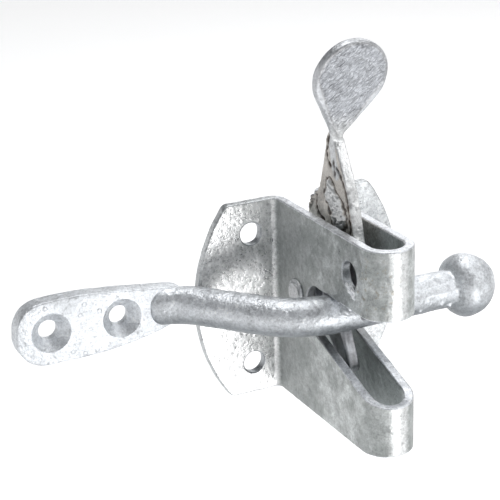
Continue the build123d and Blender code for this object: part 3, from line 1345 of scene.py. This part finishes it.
        work, tool = Workpiece(), Workpiece()
        outline = metal_on_left(spaced(self.palm_outline(), self.palm_step), hole=False)
        work.plate([wavered(outline, self.palm_waver)], self.palm_thickness, self.palm_edge, place)
        depth = self.sink_radius - self.hole_radius
        sink = [
            (-TOOL_PAST, 0.0),
            (-TOOL_PAST, self.hole_radius),
            (self.palm_thickness - depth, self.hole_radius),
            (self.palm_thickness + TOOL_PAST, self.sink_radius + TOOL_PAST),
            (self.palm_thickness + TOOL_PAST, 0.0),
        ]
        for along in self.hole_places:
            tool.turned(sink, Vector((along, 0, self.palm_z)), Vector((0, -1, 0)), LATHE_STEPS)
        tool.face_outwards()
        work.carve(tool)
        work.crease(self.crease_angle)
        return work

    def build(self, material: bpy.types.Material) -> bpy.types.Object:
        """Forges the striker from its shells.

        Args:
            material: The finish of the striker.

        Returns:
            The striker, which stands for its solid.
        """
        work = Workpiece()
        self.add_bar(work)
        self.add_head(work)
        self.add_beads(work)
        work.face_outwards()
        work.fuse(self.voxel, self.smoothings)
        for wave in self.waves:
            work.undulate(wave)
        for vert in work.mesh.verts:
            vert.co.y *= 1 - self.root_sink * smooth_step(*self.root_fall, vert.co.x)
        # Painted shade: marks the skin darker where it faces down.
        underside = work.mesh.verts.layers.float.new(UNDERSIDE)
        work.mesh.normal_update()
        for vert in work.mesh.verts:
            vert[underside] = smooth_step(*self.shade, -vert.normal.z)
        work.join(self.palm())
        striker = work.finish("striker", Body.STRIKER, Slot.BAR, material)
        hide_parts("striker_bar")
        return striker


class NodeSheet:
    """A node tree with short ways to add nodes and wire them."""

    def __init__(self, tree: bpy.types.NodeTree) -> None:
        """Takes the tree that nodes go into."""
        self.tree = tree

    def feed(self, socket: Socket, value: Value) -> None:
        """Gives an input its value, or the socket that feeds it.

        Args:
            socket: The input.
            value: A number, a colour or another node's output.
        """
        if isinstance(value, bpy.types.NodeSocket):
            self.tree.links.new(value, socket)
        else:
            socket.default_value = value

    def add(
        self, kind: str, links: dict[str | int, Value] | None = None, **settings: object
    ) -> bpy.types.Node:
        """Adds a node.

        Args:
            kind: Blender's name of the node.
            links: Input name or number to a value, or to the socket that feeds it.
            **settings: Properties of the node.

        Returns:
            The node.
        """
        node = self.tree.nodes.new(kind)
        for key, value in settings.items():
            setattr(node, key, value)
        for key, value in (links or {}).items():
            self.feed(node.inputs[key], value)
        return node

    def math(self, operation: str, first: Value, second: Value = 0.0, clamp: bool = False) -> Socket:
        """The result of a sum on two values, kept from 0 to 1 where it is clamped."""
        node = self.add("ShaderNodeMath", {0: first, 1: second}, operation=operation, use_clamp=clamp)
        return node.outputs[0]

    def ramp(self, value: Value, low: float, high: float) -> Socket:
        """A value spread from 0 at low to 1 at high, with soft ends."""
        links = {"Value": value, "From Min": low, "From Max": high, "To Min": 0.0, "To Max": 1.0}
        return self.add("ShaderNodeMapRange", links, interpolation_type="SMOOTHSTEP").outputs["Result"]

    def mix(self, share: Value, first: Value, second: Value) -> Socket:
        """Two colours mixed.

        Args:
            share: How much of the second there is.
            first: A colour or its socket.
            second: Another.

        Returns:
            The mixed colour's socket.
        """
        node = self.add("ShaderNodeMix", data_type="RGBA")
        for number, value in zip(MIX_INPUTS, (share, first, second)):
            self.feed(node.inputs[number], value)
        return node.outputs[MIX_RESULT]

    def noise(self, place: Socket, scale: float, detail: float = 2.0) -> Socket:
        """Noise from about -0.5 to 0.5, with so many waves in a metre and so many finer layers."""
        links = {"Vector": place, "Scale": scale, "Detail": detail, "Roughness": NOISE_ROUGHNESS}
        return self.math("SUBTRACT", self.add("ShaderNodeTexNoise", links).outputs["Fac"], NOISE_MIDDLE)

    def dots(self, place: Socket, scale: float, radius: float, share: float) -> Socket:
        """Small soft round dots.

        Args:
            place: The coordinates' socket.
            scale: How many cells there are in a metre.
            radius: Size of a dot, as a part of its cell.
            share: The part of the cells that have a dot.

        Returns:
            A mask that is 1 at the middle of each dot.
        """
        cell = self.add("ShaderNodeTexVoronoi", {"Vector": place, "Scale": scale, "Randomness": 1.0})
        chance = self.add("ShaderNodeSeparateColor", {0: cell.outputs["Color"]}).outputs[1]
        chosen = self.math("LESS_THAN", chance, share)
        dot = self.ramp(cell.outputs["Distance"], radius, radius * DOT_CORE)
        return self.math("MULTIPLY", dot, chosen)


def total(sheet: NodeSheet, parts: Sequence[tuple[Value, float]], start: Value = 0.0) -> Value:
    """The sum of some values, each with its own weight.

    Args:
        sheet: Where the nodes go.
        parts: Each value's socket and its weight.
        start: What the sum starts from.

    Returns:
        The sum's socket, or the start where there are no parts.
    """
    result = start
    for value, weight in parts:
        links = {0: value, 1: weight, 2: result}
        result = sheet.add("ShaderNodeMath", links, operation="MULTIPLY_ADD").outputs[0]
    return result


@dataclass(frozen=True)
class ZincSkin:
    """The skin of dipped zinc that all finishes share: how fine its patterns are and what they weigh."""

    wobble: Pattern = (260.0, 2.0)
    wobble_reach: float = 0.0025
    spangle_scale: float = 340.0
    broad: Pattern = (70.0, 4.0)
    patches: Pattern = (230.0, 3.0)
    grains_scale: float = 900.0
    frost_scale: float = 2100.0
    grains_weight: float = 0.9
    frost_weight: float = 0.8
    rust: Pattern = (620.0, 3.0)
    rust_start: Span = (0.06, 0.16)
    rust_tone: Tone = (0.36, 0.31, 0.23, 1)
    stain_start: Span = (-0.04, 0.16)
    plain_roughness: float = 0.4

    # Dots: cells in a metre, a dot's radius as a part of its cell, and the part of the cells that have one.
    specks: Triple = (430.0, 0.3, 0.4)
    beads: Triple = (360.0, 0.34, 0.16)

    # Weights of spangle, grain and patches in the tone.
    lift: Triple = (1.0, 1.0, 0.35)

    # Weights of spangle, dullness, freckles and grain in the roughness.
    roughness: tuple[float, ...] = (0.3, 0.15, 0.2, 0.3)

    # Weights of the broad waves, patches, grains, frost, beads and specks in the relief.
    relief: tuple[float, ...] = (0.8, 0.5, 0.36, 0.13, 0.5, -0.15)

    def group(self) -> bpy.types.ShaderNodeTree:
        """Builds the skin: spangle, grain, stains, specks, beads and rust freckles.

        Returns:
            A node group with colour, roughness and height for every galvanised piece.
        """
        tree = bpy.data.node_groups.new("zinc_skin", "ShaderNodeTree")
        face = tree.interface
        face.new_socket("Place", in_out="INPUT", socket_type="NodeSocketVector")
        for name in ("Spangle", "Grain", "Stain", "Specks", "Beads", "Freckles"):
            face.new_socket(name, in_out="INPUT", socket_type="NodeSocketFloat")
        for name in ("Zinc", "Dull"):
            face.new_socket(name, in_out="INPUT", socket_type="NodeSocketColor")
        face.new_socket("Color", in_out="OUTPUT", socket_type="NodeSocketColor")
        face.new_socket("Roughness", in_out="OUTPUT", socket_type="NodeSocketFloat")
        face.new_socket("Height", in_out="OUTPUT", socket_type="NodeSocketFloat")
        sheet = NodeSheet(tree)
        given = sheet.add("NodeGroupInput").outputs
        place = given["Place"]
        scale, detail = self.wobble
        wobble = sheet.add("ShaderNodeTexNoise", {"Vector": place, "Scale": scale, "Detail": detail})
        reach = {0: wobble.outputs["Color"], "Scale": self.wobble_reach}
        shift = sheet.add("ShaderNodeVectorMath", reach, operation="SCALE").outputs[0]
        bent = sheet.add("ShaderNodeVectorMath", {0: place, 1: shift}, operation="ADD").outputs[0]
        cell = {"Vector": bent, "Scale": self.spangle_scale, "Randomness": 1.0}
        cells = sheet.add("ShaderNodeTexVoronoi", cell).outputs["Color"]
        cell_tone = sheet.add("ShaderNodeSeparateColor", {0: cells}).outputs[0]
        spangle = sheet.math("MULTIPLY", sheet.math("SUBTRACT", cell_tone, NOISE_MIDDLE), given["Spangle"])
        broad, patches = sheet.noise(place, *self.broad), sheet.noise(place, *self.patches)
        grains, frost = sheet.noise(place, self.grains_scale), sheet.noise(place, self.frost_scale)
        fine = total(sheet, [(grains, self.grains_weight), (frost, self.frost_weight)])
        grain = sheet.math("MULTIPLY", fine, given["Grain"])
        specks = sheet.math("MULTIPLY", sheet.dots(bent, *self.specks), given["Specks"])
        rust = sheet.ramp(sheet.noise(place, *self.rust), *self.rust_start)
        freckles = sheet.math("MULTIPLY", rust, given["Freckles"])
        beads = sheet.math("MULTIPLY", sheet.dots(place, *self.beads), given["Beads"])
        stain = sheet.math("MULTIPLY", sheet.ramp(broad, *self.stain_start), given["Stain"])
        dulled = sheet.math("ADD", stain, specks, clamp=True)
        toned = sheet.mix(dulled, given["Zinc"], given["Dull"])
        rusted = sheet.mix(freckles, toned, self.rust_tone)
        lift = total(sheet, list(zip((spangle, grain, patches), self.lift)), 1.0)
        lit = sheet.add("ShaderNodeVectorMath", {0: rusted, "Scale": lift}, operation="SCALE").outputs[0]
        worn = list(zip((spangle, dulled, freckles, grain), self.roughness))
        rough = total(sheet, worn, self.plain_roughness)
        height = total(sheet, list(zip((broad, patches, grains, frost, beads, specks), self.relief)))
        sheet.add("NodeGroupOutput", {"Color": lit, "Roughness": rough, "Height": height})
        return tree


@dataclass(frozen=True)
class ZincFinish:
    """A galvanised finish: tone of the zinc, how strong its patterns are and how metallic it looks."""

    name: str
    zinc: Tone = (0.78, 0.8, 0.81, 1)
    dull: Tone = (0.36, 0.37, 0.38, 1)
    spangle: float = 0.22
    grain: float = 1.1
    stain: float = 0.3
    specks: float = 0.5
    beads: float = 0.5
    metallic: float = 0.9
    relief: float = 0.0004
    roughness_shift: float = 0.0

    def zinc_tone(self, sheet: NodeSheet, place: Socket) -> Value:
        """The zinc's tone over the piece, which is the same all over unless a finish says otherwise."""
        return self.zinc

    def freckle_mask(self, sheet: NodeSheet, place: Socket) -> Value:
        """Where rust freckles show, which is nowhere unless a finish says otherwise."""
        return 0.0

    def extra_roughness(self, sheet: NodeSheet, place: Socket) -> Value:
        """How much rougher than the shared zinc the finish is, which is the same all over as a rule."""
        return self.roughness_shift

    def extra_height(self, sheet: NodeSheet, place: Socket, height: Socket) -> Socket:
        """The relief with what a finish adds to it, which is nothing unless it says otherwise."""
        return height

    def make(self, group: bpy.types.ShaderNodeTree) -> bpy.types.Material:
        """Builds the material.

        Args:
            group: The shared zinc skin.

        Returns:
            The material.
        """
        material = bpy.data.materials.new(self.name)
        material.use_nodes = True
        material.node_tree.nodes.clear()
        sheet = NodeSheet(material.node_tree)
        place = sheet.add("ShaderNodeTexCoord").outputs["Object"]
        skin = sheet.add("ShaderNodeGroup", node_tree=group)
        fed = {
            "Place": place,
            "Spangle": self.spangle,
            "Grain": self.grain,
            "Stain": self.stain,
            "Specks": self.specks,
            "Beads": self.beads,
            "Freckles": self.freckle_mask(sheet, place),
            "Zinc": self.zinc_tone(sheet, place),
            "Dull": self.dull,
        }
        for name, value in fed.items():
            sheet.feed(skin.inputs[name], value)
        height = self.extra_height(sheet, place, skin.outputs["Height"])
        bump = sheet.add("ShaderNodeBump", {"Height": height, "Strength": 1.0, "Distance": self.relief})
        rough = sheet.math("ADD", skin.outputs["Roughness"], self.extra_roughness(sheet, place), clamp=True)
        surface = {
            "Base Color": skin.outputs["Color"],
            "Roughness": rough,
            "Metallic": self.metallic,
            "Normal": bump.outputs["Normal"],
        }
        shader = sheet.add("ShaderNodeBsdfPrincipled", surface)
        sheet.add("ShaderNodeOutputMaterial", {"Surface": shader.outputs[0]})
        return material


@dataclass(frozen=True)
class StripFinish(ZincFinish):
    """The catch's zinc: glossy flanges, the left one painted near white as painted light; walls with real
    mottling, toned darker as painted shade; painted shade inside; a painted highlight down the front fold;
    pale cut edges.
    """

    # Painted light: the right flange keeps this greyer tone while the left one takes the near-white zinc, one
    # side of the same sheet lit.
    right: Tone = (0.82, 0.84, 0.85, 1)
    # Painted shade: the walls are toned darker than the flanges because they face away from the light, partly
    # as duller zinc; their backs by the bends are darker still.
    wall: Tone = (0.665, 0.69, 0.685, 1)
    shaded_wall_back: Tone = (0.42, 0.44, 0.435, 1)
    # Real mottling of the zinc, also used as painted shade on the lower front of the fold.
    mottle_and_shade: Tone = (0.37, 0.39, 0.385, 1)
    # Painted shade: the faces inside the fold are dark; painted light makes them paler towards the front and
    # on the upper fork.
    inside: Tone = (0.285, 0.315, 0.315, 1)
    inside_lit: Tone = (0.6, 0.64, 0.64, 1)
    edge: Tone = (0.82, 0.84, 0.87, 1)
    # Painted highlight: a bright stripe down the front fold where a lamp's reflection falls.
    highlight_stripe: Tone = (0.735, 0.745, 0.745, 1)
    flange_edge: Tone = (0.6, 0.62, 0.63, 1)
    # Painted shade: the cut edge deep inside the mouth is toned dark.
    shaded_mouth_edge: Tone = (0.36, 0.37, 0.38, 1)
    bore: Tone = (0.45, 0.47, 0.49, 1)
    shaded_wall_back_depth: Span = (-0.042, -0.01)
    # Where the painted highlight stripe lies: its depth, the side where it rises and the side where it fades.
    highlight_front: Span = (-0.0525, -0.0595)
    highlight_rise: Span = (-0.005, -0.0005)
    highlight_fade: Span = (0.0015, 0.004)
    # Where the mouth's edge takes painted shade: deep in and within the mouth's height.
    mouth_shade_depth: Span = (-0.044, -0.03)
    mouth_shade_height: Span = (0.018, 0.014)
    # Where the inside's painted light grows: towards the front and upwards.
    lit_depth: Span = (-0.036, -0.058)
    lit_height: Span = (0.012, 0.026)
    flange_start: Span = (0.004, 0.007)
    # Where the flanges change from the left's painted light to the right's greyer tone.
    painted_light_side_change: Span = (-0.0135, 0.0135)
    front_centre: float = -0.05645
    inner_radius: Span = (0.0056, 0.0066)
    freckle_place: Triple = (-0.0062, -0.0585, 0.0215)
    freckle_reach: Span = (0.013, 0.003)
    freckle_strength: float = 0.6
    clouds: Pattern = (80.0, 4.0)
    wisps: Pattern = (260.0, 2.0)
    wisp_weight: float = 0.4
    cloud_start: Span = (-0.16, 0.12)
    # Painted shade: where the lower front of the fold is darkened towards the mottle tone.
    low_shade_height: Span = (-0.012, -0.024)
    low_shade_depth: Span = (-0.048, -0.058)
    low_shade_share: float = 0.6
    flange_gloss: float = -0.08

    def flange_mask(self, sheet: NodeSheet, place: Socket) -> Socket:
        """Where the flanges are, with the outer part of their bends.

        Args:
            sheet: Where the nodes go.
            place: The coordinates' socket.

        Returns:
            The mask's socket.
        """
        axes = sheet.add("ShaderNodeSeparateXYZ", {0: place}).outputs
        out = sheet.math("ADD", sheet.math("ABSOLUTE", axes["X"]), axes["Y"])
        return sheet.ramp(out, *self.flange_start)

    def extra_roughness(self, sheet: NodeSheet, place: Socket) -> Value:
        """How much rougher than the shared zinc the strip is, which is less on the glossy flanges."""
        gloss = sheet.math("MULTIPLY", self.flange_mask(sheet, place), self.flange_gloss)
        return sheet.math("ADD", gloss, self.roughness_shift)

    def zinc_tone(self, sheet: NodeSheet, place: Socket) -> Value:
        """The tone, by where the metal is on the folded strip.

        Args:
            sheet: Where the nodes go.
            place: The coordinates' socket.

        Returns:
            The tone's socket.
        """
        axes = sheet.add("ShaderNodeSeparateXYZ", {0: place}).outputs
        aside = sheet.math("ABSOLUTE", axes["X"])
        flange = self.flange_mask(sheet, place)
        clouds, wisps = sheet.noise(place, *self.clouds), sheet.noise(place, *self.wisps)
        cover = total(sheet, [(clouds, 1.0), (wisps, self.wisp_weight)])
        # Painted shade: the walls darken towards their backs by the bends.
        plain = sheet.mix(sheet.ramp(axes["Y"], *self.shaded_wall_back_depth), self.wall, self.shaded_wall_back)
        clouded = sheet.mix(sheet.ramp(cover, *self.cloud_start), self.mottle_and_shade, plain)
        # Painted shade: the lower front of the fold darkens.
        down, ahead = sheet.ramp(axes["Z"], *self.low_shade_height), sheet.ramp(axes["Y"], *self.low_shade_depth)
        low = sheet.math("MULTIPLY", sheet.math("MULTIPLY", down, ahead), self.low_shade_share)
        wall = sheet.mix(low, clouded, self.mottle_and_shade)
        # Painted light: the left flange near white, the right one greyer.
        flanges_painted_light = sheet.mix(sheet.ramp(axes["X"], *self.painted_light_side_change), self.zinc, self.right)
        # Painted highlight: the bright stripe down the front of the fold.
        front = sheet.ramp(axes["Y"], *self.highlight_front)
        bright, dim = sheet.ramp(axes["X"], *self.highlight_rise), sheet.ramp(axes["X"], *self.highlight_fade)
        highlight_band = sheet.math("MULTIPLY", front, sheet.math("SUBTRACT", bright, dim))
        outer = sheet.mix(highlight_band, sheet.mix(flange, wall, flanges_painted_light), self.highlight_stripe)
        round_front = sheet.math("MINIMUM", sheet.math("SUBTRACT", axes["Y"], self.front_centre), 0.0)
        spoke = sheet.add("ShaderNodeCombineXYZ", {0: aside, 1: round_front}).outputs[0]
        reach = sheet.add("ShaderNodeVectorMath", {0: spoke}, operation="LENGTH").outputs["Value"]
        # Painted shade inside, with painted light towards the front and up high.
        nearer, higher = sheet.ramp(axes["Y"], *self.lit_depth), sheet.ramp(axes["Z"], *self.lit_height)
        inner = sheet.mix(sheet.math("MAXIMUM", nearer, higher), self.inside, self.inside_lit)
        tone = sheet.mix(sheet.ramp(reach, *self.inner_radius), inner, outer)
        # Painted shade on the cut edge deep in the mouth.
        level = sheet.ramp(sheet.math("ABSOLUTE", axes["Z"]), *self.mouth_shade_height)
        deep = sheet.math("MULTIPLY", level, sheet.ramp(axes["Y"], *self.mouth_shade_depth))
        inner_edge = sheet.mix(deep, self.edge, self.shaded_mouth_edge)
        edge = sheet.mix(flange, inner_edge, self.flange_edge)
        for name, over in ((RIM, edge), (BORE, self.bore)):
            mask = sheet.add("ShaderNodeAttribute", attribute_name=name).outputs["Fac"]
            tone = sheet.mix(mask, tone, over)
        return tone

    def freckle_mask(self, sheet: NodeSheet, place: Socket) -> Value:
        """Where rust freckles show: round one place on the upper fork.

        Args:
            sheet: Where the nodes go.
            place: The coordinates' socket.

        Returns:
            The mask's socket.
        """
        links = {0: place, 1: self.freckle_place}
        away = sheet.add("ShaderNodeVectorMath", links, operation="DISTANCE").outputs["Value"]
        near = sheet.ramp(away, *self.freckle_reach)
        return sheet.math("MULTIPLY", near, self.freckle_strength)


@dataclass(frozen=True)
class BarFinish(ZincFinish):
    """The striker's zinc, with painted shade on the underside: darker where the skin faces down."""

    underside_shade: Tone = (0.31, 0.33, 0.35, 1)

    def zinc_tone(self, sheet: NodeSheet, place: Socket) -> Value:
        """The tone, darkened by the painted-shade mask that the bar's skin carries where it faces down."""
        underside = sheet.add("ShaderNodeAttribute", attribute_name=UNDERSIDE).outputs["Fac"]
        return sheet.mix(underside, self.zinc, self.underside_shade)


@dataclass(frozen=True)
class LeverFinish(ZincFinish):
    """The lever's zinc: front edges painted bright (painted light), burnt sides, soot with painted shade, and
    hammer strokes on the pad.
    """

    # Soot in cracks and on burnt sides, and painted shade on the part inside the catch and along the pad's
    # seam.
    soot_and_shade: Tone = (0.075, 0.06, 0.05, 1)
    scorched: Tone = (0.8, 0.765, 0.72, 1)
    # Pale zinc on the clean neck, the lump and the pad's rim, and painted light on edges and the pad's root
    # that face forward.
    bright: Tone = (0.84, 0.85, 0.85, 1)
    stroke_turn: float = 52.0
    stroke_length: float = 3.4
    stroke_scale: float = 820.0
    stroke_height: float = 3.8

    def zinc_tone(self, sheet: NodeSheet, place: Socket) -> Value:
        """The tone, by the masks that the lever's skin carries.

        Args:
            sheet: Where the nodes go.
            place: The coordinates' socket.

        Returns:
            The tone's socket.
        """
        tone = self.zinc
        for name, over in ((SCORCHED, self.scorched), (BRIGHT, self.bright), (SOOT_AND_SHADE, self.soot_and_shade)):
            mask = sheet.add("ShaderNodeAttribute", attribute_name=name).outputs["Fac"]
            tone = sheet.mix(mask, tone, over)
        return tone

    def extra_height(self, sheet: NodeSheet, place: Socket, height: Socket) -> Socket:
        """Adds the hammer strokes, which run slantwise up the pad.

        Args:
            sheet: Where the nodes go.
            place: The coordinates' socket.
            height: The relief of the zinc itself.

        Returns:
            The whole relief's socket.
        """
        turned = sheet.add("ShaderNodeMapping", {"Vector": place}, vector_type="TEXTURE")
        turned.inputs["Rotation"].default_value = (0, math.radians(self.stroke_turn), 0)
        turned.inputs["Scale"].default_value = (1, 1, self.stroke_length)
        strokes = sheet.noise(turned.outputs[0], self.stroke_scale)
        mask = sheet.add("ShaderNodeAttribute", attribute_name=HAMMERED).outputs["Fac"]
        links = {0: strokes, 1: sheet.math("MULTIPLY", mask, self.stroke_height), 2: height}
        return sheet.add("ShaderNodeMath", links, operation="MULTIPLY_ADD").outputs[0]


@dataclass(frozen=True)
class Lamp:
    """A soft square lamp that faces the latch."""

    name: str
    place: Triple
    size: float
    power: float


@dataclass
class Studio:
    """A plain pale studio: floor, world, soft lamps and the camera."""

    floor_height: float = -0.16
    floor_size: float = 6.0
    azimuth: float = 25.8
    elevation: float = 20.29
    roll: float = -1.78
    distance: float = 0.50751
    shift_right: float = -0.01456
    shift_up: float = 0.01207
    lens: float = 112.44
    sensor: float = 36.0
    clip: Span = (0.01, 50.0)
    floor_lift: float = 0.57
    floor_mirrored: float = 0.65
    room_strength: float = 0.24
    low_tone: Tone = (0.5, 0.51, 0.53, 1)
    high_tone: Tone = (0.95, 0.97, 1.0, 1)
    backdrop: Span = (0.3, 0.1)
    sky: Span = (-0.3, 0.7)
    paper: Tone = (0.86, 0.86, 0.86, 1)
    paper_roughness: float = 0.9
    target: Triple = (0.0, 0.0, 0.02)
    lamps: tuple[Lamp, ...] = (
        Lamp("table", (0.055, -0.36, -0.11), 0.1, 0.22),
        Lamp("right", (0.8, -0.8, 0.8), 0.7, 3.9),
        Lamp("top", (0.1, 0.1, 1.1), 0.8, 5.4),
        Lamp("back", (0.7, 0.7, 0.7), 0.7, 2.3),
    )

    def camera(self) -> None:
        """Sets the camera where the photograph was taken from."""
        azimuth, elevation, roll = (math.radians(a) for a in (self.azimuth, self.elevation, self.roll))
        ahead = Vector((math.sin(azimuth), math.cos(azimuth), 0))
        back = UPWARDS * math.sin(elevation) - ahead * math.cos(elevation)
        level = Vector((math.cos(azimuth), -math.sin(azimuth), 0))
        upright = back.cross(level)
        right = level * math.cos(roll) + upright * math.sin(roll)
        up = upright * math.cos(roll) - level * math.sin(roll)
        data = bpy.data.cameras.new("camera")
        data.lens, data.sensor_width = self.lens, self.sensor
        data.clip_start, data.clip_end = self.clip
        taker = bpy.data.objects.new("camera", data)
        bpy.context.scene.collection.objects.link(taker)
        place = back * self.distance + level * self.shift_right + upright * self.shift_up
        taker.matrix_world = Matrix.Translation(place) @ Matrix((right, up, back)).transposed().to_4x4()
        bpy.context.scene.camera = taker

    def hang(self, lamp: Lamp) -> None:
        """Hangs a lamp and turns it to the latch.

        Args:
            lamp: The lamp.
        """
        data = bpy.data.lights.new(lamp.name, "AREA")
        data.shape, data.size, data.energy = "SQUARE", lamp.size, lamp.power
        hung = bpy.data.objects.new(lamp.name, data)
        bpy.context.scene.collection.objects.link(hung)
        hung.location = lamp.place
        hung.visible_camera = False
        hung.rotation_euler = (Vector(self.target) - Vector(lamp.place)).to_track_quat("-Z", "Y").to_euler()

    @staticmethod
    def background_rays(sheet: NodeSheet, glossy: Value) -> Socket:
        """A mask of the rays that see the background white.

        Args:
            sheet: Where the nodes go.
            glossy: How much of it reflections see.

        Returns:
            The mask's socket.
        """
        ray = sheet.add("ShaderNodeLightPath").outputs
        direct = sheet.math("MAXIMUM", ray["Is Camera Ray"], ray["Is Transmission Ray"])
        mirrored = sheet.math("MULTIPLY", ray["Is Glossy Ray"], glossy)
        return sheet.math("MAXIMUM", direct, mirrored)

    def world(self) -> None:
        """Lights the room evenly, with a white backdrop round the horizon."""
        world = bpy.data.worlds.new("studio")
        world.use_nodes = True
        world.node_tree.nodes.clear()
        sheet = NodeSheet(world.node_tree)
        up = sheet.add("ShaderNodeTexCoord").outputs["Generated"]
        height = sheet.add("ShaderNodeSeparateXYZ", {0: up}).outputs["Z"]
        band = sheet.ramp(height, *self.backdrop)
        white = self.background_rays(sheet, band)
        shown = sheet.add("ShaderNodeBackground", {"Color": WHITE, "Strength": 1.0})
        tone = sheet.mix(sheet.ramp(height, *self.sky), self.low_tone, self.high_tone)
        room = sheet.add("ShaderNodeBackground", {"Color": tone, "Strength": self.room_strength})
        both = sheet.add("ShaderNodeMixShader", {0: white, 1: room.outputs[0], 2: shown.outputs[0]})
        sheet.add("ShaderNodeOutputWorld", {"Surface": both.outputs[0]})
        bpy.context.scene.world = world

    def floor(self) -> None:
        """Lays a pale paper floor that reads as white and keeps the latch's shadow."""
        work = Workpiece()
        bmesh.ops.create_grid(work.mesh, x_segments=1, y_segments=1, size=self.floor_size / 2)
        bmesh.ops.translate(work.mesh, vec=(0, 0, self.floor_height), verts=work.mesh.verts[:])
        floor = work.to_object("floor")
        material = bpy.data.materials.new("floor_paper")
        material.use_nodes = True
        material.node_tree.nodes.clear()
        sheet = NodeSheet(material.node_tree)
        lift = sheet.math("MULTIPLY", self.background_rays(sheet, self.floor_mirrored), self.floor_lift)
        surface = {
            "Base Color": self.paper,
            "Roughness": self.paper_roughness,
            "Emission Color": WHITE,
            "Emission Strength": lift,
        }
        shader = sheet.add("ShaderNodeBsdfPrincipled", surface)
        sheet.add("ShaderNodeOutputMaterial", {"Surface": shader.outputs[0]})
        floor.data.materials.append(material)

    def build(self) -> None:
        """Sets up the whole studio."""
        self.world()
        self.floor()
        for lamp in self.lamps:
            self.hang(lamp)
        self.camera()
        bpy.context.scene.view_settings.view_transform = "Standard"


def main() -> None:
    """Builds the latch and its studio, piece by piece."""
    logging.basicConfig(level=logging.INFO, format="%(name)s: %(message)s")
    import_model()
    group = ZincSkin().group()
    # The strip's near-white zinc is painted light on the left flange.
    strip = StripFinish(
        "galvanised_strip",
        zinc=(0.97, 0.97, 0.97, 1),
        spangle=0.16,
        grain=1.0,
        specks=0.3,
        stain=0.2,
        relief=0.0003,
    ).make(group)
    bar = BarFinish(
        "galvanised_bar",
        zinc=(0.81, 0.835, 0.865, 1),
        spangle=0.12,
        grain=0.95,
        specks=0.3,
        relief=0.0006,
        roughness_shift=0.06,
    ).make(group)
    lever = LeverFinish("galvanised_lever", zinc=(0.5, 0.515, 0.545, 1), grain=0.8, stain=0.15).make(group)
    drip = ZincFinish("galvanised_drip", zinc=(0.86, 0.88, 0.91, 1), specks=0.0, stain=0.0).make(group)
    rivet = ZincFinish("rivet_steel", zinc=(0.72, 0.73, 0.74, 1)).make(group)
    CatchBody().build(strip)
    ZincDrip().build(drip)
    PivotRivet().build(rivet)
    LatchLever().build(lever)
    StrikerBar().build(bar)
    Studio().build()


if __name__ == "__main__":
    main()
